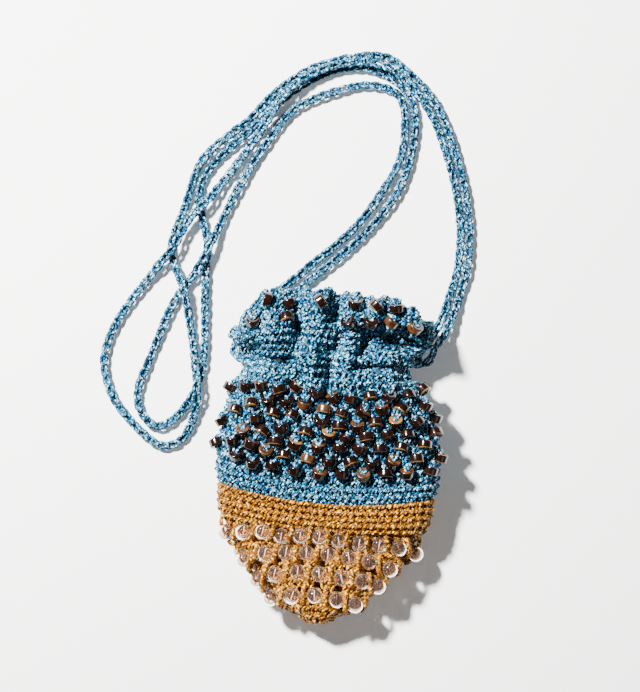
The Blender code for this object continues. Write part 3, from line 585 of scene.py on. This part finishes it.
SENSOR = 24.0
CAMERA_DISTANCE = 1.9
FRAME_HEIGHT = 0.3944
CAMERA_PLACE = (-0.00951, 0.06406, CAMERA_DISTANCE + 0.012)
CAMERA_TURN = 4.5
FLOOR_HALF = 1.6
FLOOR_Z = -0.0002
FLOOR_COLOUR = (0.97, 0.97, 0.97, 1.0)
FLOOR_GLOW = 0.12
WORLD_LIGHT = 0.085
KEY_POWER = 162.0
FILL_POWER = 2.0
LIGHT_TARGET = (0.0, 0.05, 0.0)


def look_down():
    data = bpy.data.cameras.new("camera")
    data.sensor_fit = "VERTICAL"
    data.sensor_height = SENSOR
    data.clip_start = 0.1
    data.clip_end = 20.0
    data.lens = SENSOR * CAMERA_DISTANCE / FRAME_HEIGHT
    item = bpy.data.objects.new("camera", data)
    item.location = CAMERA_PLACE
    item.rotation_euler = (0.0, 0.0, math.radians(CAMERA_TURN))
    bpy.context.scene.collection.objects.link(item)
    bpy.context.scene.camera = item


def area(name, place, size, power, colour=(1, 1, 1)):
    """Round area light that faces the pouch."""
    data = bpy.data.lights.new(name, "AREA")
    data.shape = "DISK"
    data.size = size
    data.energy = power
    data.color = colour
    item = bpy.data.objects.new(name, data)
    item.location = place
    way = np.array(LIGHT_TARGET) - np.array(place)
    item.rotation_euler = (
        math.atan2(math.hypot(way[0], way[1]), -way[2]), 0.0, math.atan2(way[0], -way[1]) + math.pi)
    bpy.context.scene.collection.objects.link(item)


def seen_rays(nodes, links):
    """1 for rays from the camera, from shiny surfaces and through glass."""
    path = nodes.new("ShaderNodeLightPath")
    seen = path.outputs["Is Camera Ray"]
    for ray in ("Is Glossy Ray", "Is Transmission Ray"):
        either = nodes.new("ShaderNodeMath")
        either.operation = "MAXIMUM"
        links.new(seen, either.inputs[0])
        links.new(path.outputs[ray], either.inputs[1])
        seen = either.outputs[0]
    return seen


def studio():
    mat, nodes, links, bsdf = shader("pale_floor", 0.8)
    bsdf.inputs["Base Color"].default_value = FLOOR_COLOUR
    bsdf.inputs["Specular IOR Level"].default_value = 0.1
    glow = nodes.new("ShaderNodeEmission")
    add = nodes.new("ShaderNodeAddShader")
    times = nodes.new("ShaderNodeMath")
    times.operation = "MULTIPLY"
    times.inputs[1].default_value = FLOOR_GLOW
    links.new(seen_rays(nodes, links), times.inputs[0])
    links.new(times.outputs[0], glow.inputs["Strength"])
    links.new(bsdf.outputs["BSDF"], add.inputs[0])
    links.new(glow.outputs["Emission"], add.inputs[1])
    links.new(add.outputs["Shader"], nodes["Material Output"].inputs["Surface"])
    mesh = bpy.data.meshes.new("floor")
    corners = [(x * FLOOR_HALF, y * FLOOR_HALF, FLOOR_Z) for x, y in ((-1, -1), (1, -1), (1, 1), (-1, 1))]
    mesh.from_pydata(corners, [], [(0, 1, 2, 3)])
    mesh.materials.append(mat)
    floor = bpy.data.objects.new("floor", mesh)
    bpy.context.scene.collection.objects.link(floor)
    world = bpy.data.worlds.new("studio")
    world.use_nodes = True
    background = world.node_tree.nodes["Background"]
    background.inputs["Color"].default_value = (1.0, 1.0, 1.0, 1.0)
    background.inputs["Strength"].default_value = WORLD_LIGHT
    bpy.context.scene.world = world
    area("key", (-0.75, 0.70, 1.05), 0.16, KEY_POWER, (1.0, 0.985, 0.96))
    area("fill", (0.9, -0.5, 1.3), 0.9, FILL_POWER)


look_down()
studio()


# Cords

LINK = 6.3
CORD_YARN = 0.98
BAR_YARN = 0.80
CORD_ASIDE = np.array([0.31, 0.23, 0.92])
SPACING = 1.5
RIGHT_EXIT = 44.1
LEFT_EXIT = -52.1


def points_at(places, along, values):
    """Rows of values at places along a line."""
    return np.stack([np.interp(places, along, values[:, k]) for k in range(3)], -1)


def even(line):
    """The same line with its points one spacing apart."""
    along = run_along(line)
    count = max(int(round(along[-1] / SPACING)), 2)
    return points_at(np.linspace(0, along[-1], count + 1), along, line)


def smooth_line(route):
    """Smooth curve through the points of a route."""
    p = np.array(route, float)
    q = np.vstack([2 * p[0] - p[1], p, 2 * p[-1] - p[-2]])
    t = np.linspace(0, 1, 16, endpoint=False)[:, None]
    out = []
    for i in range(1, len(q) - 2):
        a, b, c, d = q[i - 1:i + 3]
        out.append(0.5 * (2 * b + (c - a) * t + (2 * a - 5 * b + 4 * c - d) * t**2
                          + (3 * b - a - 3 * c + d) * t**3))
    return even(np.vstack(out + [q[-2][None]]))


def chain_cord(build, line, twist_seed):
    """Crochet chain along a line: one leaning loop to a link, and a bar behind it."""
    rng = np.random.default_rng(twist_seed)
    along = run_along(line)
    total = along[-1]
    links = int(round(total / LINK))
    pitch = total / links
    tangent = np.gradient(line, axis=0)
    tangent /= np.linalg.norm(tangent, axis=1, keepdims=True)
    roll = np.interp(along, np.linspace(0, total, 60), rng.normal(0, 0.32, 60))
    side = np.cross(tangent, [0, 0, 1.0])
    side /= np.linalg.norm(side, axis=1, keepdims=True)
    up = np.cross(side, tangent)

    def place(s, aside, high):
        s = np.clip(s, 0, total)
        turn = np.interp(s, along, roll)[..., None]
        aside, high = aside[..., None], high[..., None]
        middle, across, over = (points_at(s, along, values) for values in (line, side, up))
        return (middle + across * (aside * np.cos(turn) - high * np.sin(turn))
                + over * (aside * np.sin(turn) + high * np.cos(turn)))

    k = np.arange(links)[:, None]
    a = np.linspace(0, 2 * math.pi, 12, endpoint=False)[None]
    size = 1 + rng.normal(0, 0.06, (links, 1))
    s = (k + 0.5) * pitch + 0.66 * pitch * -np.cos(a)
    wide = np.sin(a) * (1.62 - 0.34 * np.cos(a)) * size
    high = 0.60 * -np.cos(a) + 0.35 + rng.normal(0, 0.08, (links, 12))
    build.tubes(place(s, wide, high), CORD_YARN, 6, CORD_ASIDE, closed=True)
    t = np.linspace(-0.62, 0.62, 5)[None]
    bars = place((k + 0.5 + t) * pitch, 0.45 * np.sin(3 * t + k), -0.75 + 0.5 * t**2 + 0 * k)
    build.tubes(bars, BAR_YARN, 6, CORD_ASIDE)


def free_cords():
    for side, route, seed in (("left", LEFT_ROUTE, 3), ("right", RIGHT_ROUTE, 5)):
        line = smooth_line(route)
        build = Build()
        chain_cord(build, line, seed)
        piece = build.piece("crochet_cord_" + side, [CORD_BLUE], "drawstring_%s_cord" % side, "blue_cord")


free_cords()


def neck_line(level, end):
    """Woven course of a drawstring round the neck, from one opening back to the same one."""
    count = 80
    middle, side, out = (0.0, RIGHT_EXIT, 1.0) if end == "right" else (0.5, LEFT_EXIT, -1.0)
    u = middle + np.arange(3, count - 2) / count
    points = surface(u, level, -CORD_SWING * np.cos(TURN * WAVES * u), 0.0)
    inward = side - out * 2.6
    lead = [[side, level, 15.4], [inward, level, 17.6]]
    tail = [[inward, level, 8.2], [side, level, 8.0]]
    if points[0][2] < points[-1][2]:
        lead, tail = tail[::-1], lead[::-1]
    return np.vstack([lead, points, tail])


def neck_strings():
    for side, level, seed in (("left", 147.0, 11), ("right", 152.0, 13)):
        build = Build()
        chain_cord(build, even(neck_line(level, side)), seed)
        build.piece("crochet_neck_string_" + side, [CORD_BLUE], "drawstring_%s_neck" % side, "blue_cord")


# Seats of the beads on the fabric

def grid(count, low, high):
    """Shares of the way round and levels, a millimetre apart, of points spread over the fabric."""
    u, level = np.meshgrid(np.arange(count) / count, np.arange(low, high, 1.0))
    return u.ravel(), level.ravel()


SAMPLES = surface(*grid(320, TIP_LEVEL, TOP_LEVEL + 0.01))


def seat(x, y, radius):
    """Centre and outward direction of a bead that rests on the front of the fabric."""
    reach = radius + WALL / 2 + GAP + SEAT_SLACK
    middle = float(np.interp(y, FINE, FINE_TABLE[:, 2]))
    away = (SAMPLES[:, 0] - x) ** 2 + (SAMPLES[:, 1] - y) ** 2
    near = away < reach**2
    z = middle
    if near.any():
        z = max(float((SAMPLES[near, 2] + np.sqrt(reach**2 - away[near])).max()), middle)
    centre = np.array([x, y, z])
    for _ in range(6):
        gaps = np.linalg.norm(SAMPLES - centre, axis=1)
        touch = SAMPLES[gaps.argmin()]
        centre = touch + (centre - touch) / gaps.min() * reach
    away = centre - touch
    return centre, away / np.linalg.norm(away)


# Ring beads

DARK_SLOT, AMBER_SLOT, GRAIN_SLOT = 0, 1, 2
PALE_WALL_SHARE = 0.10
BEAD_YARN = 0.86
BACK_RISE = 0.8
FRILL_RISE = 1.5
FRILL_SWAY = 0.8
FRILL_EDGE_SHARE = 0.12


def ring_profile():
    """Half section of a ring bead: distance from its axis and place along it."""
    r, h, bore = 4.15, 2.3, 1.4
    half = [(bore, 0.0), (bore, h - 0.45), (bore + 0.2, h - 0.12), (bore + 0.5, h), (r - 0.6, h),
            (r - 0.22, h - 0.1), (r - 0.04, h - 0.45), (r, h - 1.2)]
    return np.array(half + [(r, 0.0)] + [(a, -b) for a, b in half[:0:-1]])


PROFILE = ring_profile()


def revolve(profile, sides):
    turn = np.arange(sides) * 2 * math.pi / sides
    k = len(profile)
    pts = np.stack([profile[:, 0][None] * np.cos(turn)[:, None],
                    np.broadcast_to(profile[:, 1][None], (sides, k)),
                    profile[:, 0][None] * np.sin(turn)[:, None]], -1)
    i, j = np.meshgrid(np.arange(sides), np.arange(k), indexing="ij")
    n, m = (i + 1) % sides, (j + 1) % k
    quads = np.stack([i * k + j, i * k + m, n * k + m, n * k + j], -1).reshape(-1, 4)
    return pts.reshape(-1, 3), quads


RING_POINTS, RING_QUADS = revolve(PROFILE, 26)
# Steps of the profile that make the two flat ends.
END_STEPS = {2, 3, 4, len(PROFILE) - 6, len(PROFILE) - 5, len(PROFILE) - 4}
RING_ENDS = np.array([k % len(PROFILE) in END_STEPS for k in range(len(RING_QUADS))])


def unit(v):
    return v / (np.linalg.norm(v) + TINY)


def ring_bead(build, yarn, centre, up, slant, lean, wall, face, scale):
    """One bead and the yarn through it. slant turns its bore about up; lean tips a face outward."""
    along = unit(np.array([0.0, 1.0, 0.0]) - up * up[1])
    across = unit(np.cross(along, up))
    axis = unit((along * math.cos(slant) + across * math.sin(slant)) * math.cos(lean) + up * math.sin(lean))
    side = unit(np.cross(axis, up))
    top = np.cross(side, axis)
    p = RING_POINTS * scale
    placed = centre + p[:, :1] * side + p[:, 1:2] * axis + p[:, 2:] * top
    build.add(placed, RING_QUADS)
    build.index[-len(RING_QUADS):] = np.where(RING_ENDS, face, wall).tolist()
    for way in (-1.0, 1.0):
        for spread in (-1.0, 1.0):
            base = centre + along * way * 5.6 - up * 4.2 + across * spread * (3.0 if way > 0 else 1.2)
            path = np.array([
                base - up * 1.6, base + up * 0.9,
                (base + centre) / 2 + axis * way * 1.2 + up * 1.5 + across * spread * 0.5,
                centre + axis * way * 2.9 + side * spread * 0.75 - top * 0.2,
                centre + axis * way * 1.4 + side * spread * 0.5, centre + side * spread * 0.45])
            yarn.tubes(path[None], BEAD_YARN, 5, side)


def row_beads(row, places, cad, sway=0.26, edge_share=0.42):
    """A row of ring beads: some show the thin edge of their lower face, others look out of the yarn."""
    build, yarn = Build(), Build()
    rng = np.random.default_rng(sum(map(ord, cad)))
    for centre, up in places:
        if rng.random() < edge_share:
            lean, shares = rng.normal(-0.25, 0.09), [0.22, 0.53, 0.25]
        else:
            lean, shares = float(np.clip(rng.normal(0.50, 0.26), 0.05, 1.0)), [0.52, 0.16, 0.32]
        face = int(rng.choice([DARK_SLOT, AMBER_SLOT, GRAIN_SLOT], p=shares))
        wall = GRAIN_SLOT if rng.random() < PALE_WALL_SHARE else DARK_SLOT
        ring_bead(build, yarn, centre, up, rng.normal(0, sway), lean, wall, face, 1.0 + rng.normal(0, 0.025))
    build.piece("ring_beads_" + row, [BROWN, AMBER, BEAD_FACE], cad, "brown_bead")
    return yarn


FRILL_SAMPLES = shown(*grid(400, 158.0, TOP_LEVEL), 1.2)


def frill_seat(x, y):
    """Place and outward direction of a bead half sunk in the frill's visible folds."""
    away = np.linalg.norm(FRILL_SAMPLES[:, :2] - (x, y), axis=1)
    near = FRILL_SAMPLES[away < max(3.0, away.min() + TINY)]
    centre = near[near[:, 2].argmax()] + np.array([0.0, 0.0, FRILL_RISE])
    centre[:2] = x, y
    return centre, unit(np.array([x * 0.006, (y - 172.0) * 0.02, 1.0]))


def all_ring_beads():
    """All rows of ring beads, and the yarn through each row."""
    threads = []
    up = np.array([0.0, 0.0, 1.0])
    for row, places in BROWN_FRONT.items():
        beads = [seat(x, y, BROWN_RADIUS) for x, y in places]
        threads.append(row_beads("front_" + row, beads, "brown_beads_front_row_" + row))
    for row, (level, first, count) in BROWN_BACK.items():
        beads = [(np.array([first + BACK_PITCH * k, level, BROWN_RADIUS + BACK_RISE]), -up)
                 for k in range(count)]
        threads.append(row_beads("back_" + row, beads, "brown_beads_back_row_" + row))
    for row, places in FRILL_ROWS.items():
        beads = [frill_seat(x, y) for x, y in places]
        threads.append(row_beads("frill_" + row, beads, "brown_beads_frill_" + row,
                                 FRILL_SWAY, FRILL_EDGE_SHARE))
    return threads


# Glass beads

GLASS_RADIUS = 5.1
GLASS_BORE = 0.6
GLASS_COUNTS = {1: 11, 2: 8, 3: 7, 4: 5}
GLASS_BACK_Z = 5.2
CORE_RADIUS = 0.28
CORE_HALF = 4.7


def glass_mesh(rings=18, sides=32):
    start = math.asin(GLASS_BORE / GLASS_RADIUS)
    turn = np.linspace(start, math.pi - start, rings)
    outer = np.stack([GLASS_RADIUS * np.sin(turn), -GLASS_RADIUS * np.cos(turn)], 1)
    inner = np.stack([np.full(3, GLASS_BORE * 0.98), np.linspace(0.7, -0.7, 3) * GLASS_RADIUS], 1)
    return revolve(np.vstack([outer, inner])[::-1], sides)


GLASS_POINTS, GLASS_QUADS = glass_mesh()


def glass_bead(build, centre, rng):
    """One bead with its frosted bore. The bores fan out from the pouch's middle."""
    slant = -math.atan2(centre[0] * 0.35, 60.0) + rng.normal(0, 0.12)
    lean = rng.normal(0, 0.1)
    level = math.cos(lean)
    axis = unit(np.array([math.sin(slant) * level, math.cos(slant) * level, math.sin(lean)]))
    side = unit(np.cross(axis, [0, 0, 1.0]))
    top = np.cross(side, axis)
    p = GLASS_POINTS
    build.add(centre + p[:, :1] * side + p[:, 1:2] * axis + p[:, 2:] * top, GLASS_QUADS)
    core = centre + np.linspace(-CORE_HALF, CORE_HALF, 3)[:, None] * axis
    build.tubes(core[None], CORE_RADIUS, 8, top, mat=1)


def node_centre(name):
    low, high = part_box(name)
    return (np.array(low) + np.array(high)) / 2 / MM + ORIGIN


def all_glass():
    """All glass beads; returns their centres."""
    rng = np.random.default_rng(21)
    centres = []
    for row, count in GLASS_COUNTS.items():
        for k in range(1, count + 1):
            name = "glass_bead_front_%d_%02d" % (row, k)
            build = Build()
            centres.append(node_centre(name))
            glass_bead(build, centres[-1], rng)
            piece = build.piece(name.replace("glass_bead", "clear_bead"), [GLASS, BORE], name, "clear_glass")
            # The outer beads of a row shade the floor; the others let light through to the yarn.
            piece.visible_shadow = k in (1, count - 1, count)
    for row, (y, first, pitch, count) in GLASS_BACK.items():
        name = "glass_beads_back_row_%d" % row
        build = Build()
        for k in range(count):
            centres.append(np.array([first + pitch * k, y, GLASS_BACK_Z]))
            glass_bead(build, centres[-1], rng)
        build.piece(name.replace("glass_beads", "clear_beads"), [GLASS, BORE], name, "clear_glass")
    return np.array(centres)


# Crochet fabric

# Above this level the stitches of the inner side are seen.
INSIDE_SEEN = 171.0
INSIDE_LIFT = -0.6
GOLD_YARN = 0.95
BLUE_YARN = 0.98
ROW_SLIP = 0.12
ROPE_HIGH = 1.15
ROPE_YARN = 0.80
RIB_HIGH = 8.0
RIB_ASIDE = 5.6
GLASS_CLEAR = 5.3
SHOULDER_LEVEL = 106.0
NECK_LEVEL = 140.5
FRILL_LEVEL = 162.0
RIM_LEVEL = 187.0
NECK_PITCH = 4.3
# Slot of the darker yarn that paints the shade on the skin behind the stitches.
INSIDE = 1
SKIN_SIDES = 160
# Points of half a stitch: shares of its width and height, and its rise in millimetres.
LEG = np.array([(0.02, -0.62, -1.4), (-0.20, -0.40, 0.30), (-0.37, -0.14, 0.85), (-0.37, 0.12, 0.60),
                (-0.24, 0.34, -0.10), (-0.04, 0.52, -1.5)])
LEG_THICK = np.array([[0.8, 1, 1.05, 1.05, 1, 0.8]])


def row_levels(low, high, pitch):
    """Levels of the rows that fill a stretch, and the pitch that fits."""
    count = int(round((high - low) / pitch))
    return low + (np.arange(count) + 0.5) * (high - low) / count, (high - low) / count


def stitch_rows(build, levels, pitch, yarn, keep=None, both_sides=False):
    """Rows of single crochet: two bulging legs to a stitch and a sunken bar between rows."""
    for r, level in enumerate(levels):
        u_at, along = ring_table(level)
        total = along[-1]
        count = max(int(round(total / STITCH)), 6)
        wide = total / count
        s0 = (np.arange(count) + ROW_SLIP * r + 0.5 * (r % 2)) * wide
        centre_u = np.interp(s0 % total, along, u_at)
        good = np.ones(count, bool) if keep is None else keep(centre_u, level)
        faces_out = (1.0, -1.0) if both_sides and level > INSIDE_SEEN else (1.0,)
        for out in faces_out:
            for mirror in (1.0, -1.0):
                leg = LEG.copy()
                if mirror < 0:
                    leg[:, 0] = -leg[:, 0] * 0.92 + 0.03
                a = leg[:, 0][None] * wide + RNG.normal(0, 0.16, (count, 6))
                m = leg[:, 1][None] * pitch * 1.02 + RNG.normal(0, 0.16, (count, 6))
                h = leg[:, 2][None] + RNG.normal(0, 0.14, (count, 6)) + RNG.normal(0, 0.16, (count, 1))
                s = s0[:, None] + a
                u = np.interp(s % total, along, u_at)
                lv = level + m
                lift = between(SHOWN_LIFT, lv)
                p = shown(u, lv, lift if out > 0 else INSIDE_LIFT)
                n = normals(u, lv, lift)
                p = p + n * h[..., None] * out
                thick = yarn * (1 + RNG.normal(0, 0.05, (count, 1))) * LEG_THICK
                build.tubes(p[good], thick[good], 5, n[:, 2][good])
        for out in faces_out:
            for strand in (0.0, math.pi):
                rope_strand(build, level, pitch, count, along, u_at, strand, keep, out)


def rope_strand(build, level, pitch, count, along, u_at, strand, keep, out):
    """One strand of the twisted bar between two rows, left out where keep says no."""
    total = along[-1]
    wide = total / count
    s = np.linspace(0, total, count * 5, endpoint=False)
    u = np.interp(s, along, u_at)
    turn = 2 * math.pi * s / wide + strand
    lv = level + pitch * (0.34 + 0.20 * np.cos(turn))
    lift = between(SHOWN_LIFT, lv)
    n = normals(u, lv, lift)
    p = shown(u, lv, lift if out > 0 else INSIDE_LIFT)
    main = strand == 0.0
    high = ROPE_HIGH + (0.80 if main else 0.35) * np.sin(turn) + RNG.normal(0, 0.10, len(s))
    p = p + n * high[:, None] * out
    thick = ROPE_YARN * (1 + 0.28 * np.sin(turn)) if main else ROPE_YARN * 0.8 * np.ones(len(s))
    ok = np.ones(len(s), bool) if keep is None else keep(u, level)
    cuts = np.nonzero(ok != np.roll(ok, 1))[0]
    if ok.all():
        build.tubes(p[None], thick[None], 5, n[None], closed=True)
    if len(cuts) == 0:
        return
    p, n, ok = np.roll(p, -cuts[0], 0), np.roll(n, -cuts[0], 0), np.roll(ok, -cuts[0])
    edges = np.nonzero(np.diff(ok.astype(int)))[0] + 1
    for piece, norm, flag in zip(np.split(p, edges), np.split(n, edges), np.split(ok, edges)):
        if flag[0] and len(piece) > 3:
            build.tubes(piece[None], ROPE_YARN, 5, norm[None])


def backing(build, levels, lift, count, skip=None, cap=True):
    """Plain closed skin behind the stitches, in the darker yarn of painted shade, with a way through at each
    face that skip names.
    """
    u = np.arange(count) / count
    outer = np.stack([shown(u, lv, lift) for lv in levels])
    inner = np.stack([shown(u, lv, -lift) for lv in levels])
    rows = len(levels)
    pts = np.concatenate([outer.reshape(-1, 3), inner.reshape(-1, 3)])
    half = rows * count
    i, j = np.meshgrid(np.arange(rows - 1), np.arange(count), indexing="ij")
    gone = np.zeros(i.shape, bool) if skip is None else skip(i, j)
    n = (j + 1) % count
    quads = np.stack([i * count + j, i * count + n, (i + 1) * count + n, (i + 1) * count + j], -1)
    faces = quads[~gone].tolist() + (quads[..., ::-1] + half)[~gone].tolist()

    def rim(a, b):
        faces.append([a, b, b + half, a + half])

    for j in range(count):
        n = (j + 1) % count
        if not cap:
            rim(n, j)
        rim((rows - 1) * count + j, (rows - 1) * count + n)
    if cap:
        faces.append(list(range(count))[::-1])
        faces.append([half + k for k in range(count)])
    if skip is not None:
        for i in range(rows - 1):
            for j in range(count):
                if not gone[i, j]:
                    continue
                n, b = (j + 1) % count, (j - 1) % count
                if not gone[i, b]:
                    rim((i + 1) * count + j, i * count + j)
                if not gone[i, n]:
                    rim(i * count + n, (i + 1) * count + n)
                if i > 0 and not gone[i - 1, j]:
                    rim(i * count + j, i * count + n)
                if i < rows - 2 and not gone[i + 1, j]:
                    rim((i + 1) * count + n, (i + 1) * count + j)
    build.add(pts, faces, INSIDE)


def bead_ribs(net, glass):
    """Twisted yarn ribs that hold each glass bead on its left and right."""
    fabric = shown(*grid(320, TIP_LEVEL, SEAM))
    spots = np.array([c + np.array([side * RIB_ASIDE, 0.0, 0.0]) for c in glass for side in (-1.0, 1.0)])
    used = np.zeros(len(spots), bool)
    for i, spot in enumerate(spots):
        if used[i]:
            continue
        near = (np.linalg.norm(spots - spot, axis=1) < 4.6) & ~used
        used |= near
        middle = spots[near].mean(0)
        gaps = np.linalg.norm(fabric - middle, axis=1)
        touch = fabric[gaps.argmin()]
        out = unit(middle - touch)
        base = touch + out * RIB_HIGH
        run = unit(np.array([middle[0] * -0.006, 1.0, 0.0]) - out * out[1])
        across = np.cross(run, out)
        t = np.linspace(-1, 1, 23)
        for strand in (0.0, math.pi):
            turn = t * 2 * math.pi * 1.8 + strand + i
            path = (base + (t * 6.2)[:, None] * run + (0.72 * np.cos(turn))[:, None] * across
                    + (0.60 * np.sin(turn) - 3.4 * t**4 + RNG.normal(0, 0.12, len(t)))[:, None] * out)
            net.tubes(path[None], (0.92 + 0.14 * np.cos(turn * 2))[None], 6, across)


def gold_fabric(glass):
    """Plain gold band and the open net round the glass beads."""
    levels, pitch = row_levels(1.0, SEAM - 0.5, STITCH)

    def clear_of_glass(u, level):
        if level >= GLASS_TOP + 3:
            return np.ones(len(u), bool)
        p = shown(u, level, between(SHOWN_LIFT, level))
        return np.linalg.norm(p[:, None] - glass[None], axis=-1).min(1) > GLASS_CLEAR

    net = Build()
    stitch_rows(net, levels, pitch, GOLD_YARN, clear_of_glass)
    skin_levels = [2.5, 5.0, 9.0, *np.arange(14.0, 50.0, 5.0), *np.arange(51.0, 75.0, 2.5), SEAM - 0.2]
    backing(net, skin_levels, 0.9, 120)
    bead_ribs(net, glass)
    net.piece("gold_crochet", [GOLD, GOLD_PAINTED_SHADE], "gold_base", "gold_yarn")


def posts(u, level):
    """Where stitches stand beside the eyelets."""
    inside = (level > EYELET_LOW - 1.0) & (level < EYELET_HIGH + 1.0)
    wave = np.cos(TURN * WAVES * u)
    return (u < 0.5) | (wave > 0.0) | (not inside)


def eyelets(i, j):
    """The skin's faces between the posts."""
    wave = np.cos(TURN * WAVES * (j + 0.5) / SKIN_SIDES)
    return (i == 1) & (np.abs(wave) < 0.72)


def blue_fabric(bead_yarn):
    """Body, shoulder, neck and frill, and the yarn through the ring beads."""
    lower, middle, neck, frill, loops = Build(), Build(), Build(), Build(), Build()
    levels, pitch = row_levels(SEAM + 0.3, NECK_LEVEL, STITCH)
    stitch_rows(lower, levels[levels < SHOULDER_LEVEL], pitch, BLUE_YARN)
    stitch_rows(middle, levels[levels >= SHOULDER_LEVEL], pitch, BLUE_YARN)
    backing(lower, [SEAM + 0.2, *np.arange(80.0, 140.0, 4.0), 142.0], 0.9, SKIN_SIDES, cap=False)
    for yarn in bead_yarn:
        loops.join(yarn)
    levels, pitch = row_levels(NECK_LEVEL, RIM_LEVEL, NECK_PITCH)
    stitch_rows(neck, levels[levels < FRILL_LEVEL], pitch, BLUE_YARN, posts, True)
    stitch_rows(frill, levels[levels >= FRILL_LEVEL], pitch, BLUE_YARN, posts, True)
    skin_levels = [142.2, EYELET_LOW, EYELET_HIGH, *np.arange(158.0, TOP_LEVEL, 3.5), TOP_LEVEL]
    backing(neck, skin_levels, 0.7, SKIN_SIDES, eyelets, cap=False)
    for build, part in ((lower, "crochet_body"), (middle, "crochet_shoulder"), (neck, "crochet_neck"),
                        (frill, "crochet_frill"), (loops, "bead_loops")):
        build.piece("blue_" + part, [BLUE, BLUE_PAINTED_SHADE], "blue_body", "blue_yarn")


neck_strings()
bead_yarn = all_ring_beads()
glass = all_glass()
gold_fabric(glass)
blue_fabric(bead_yarn)
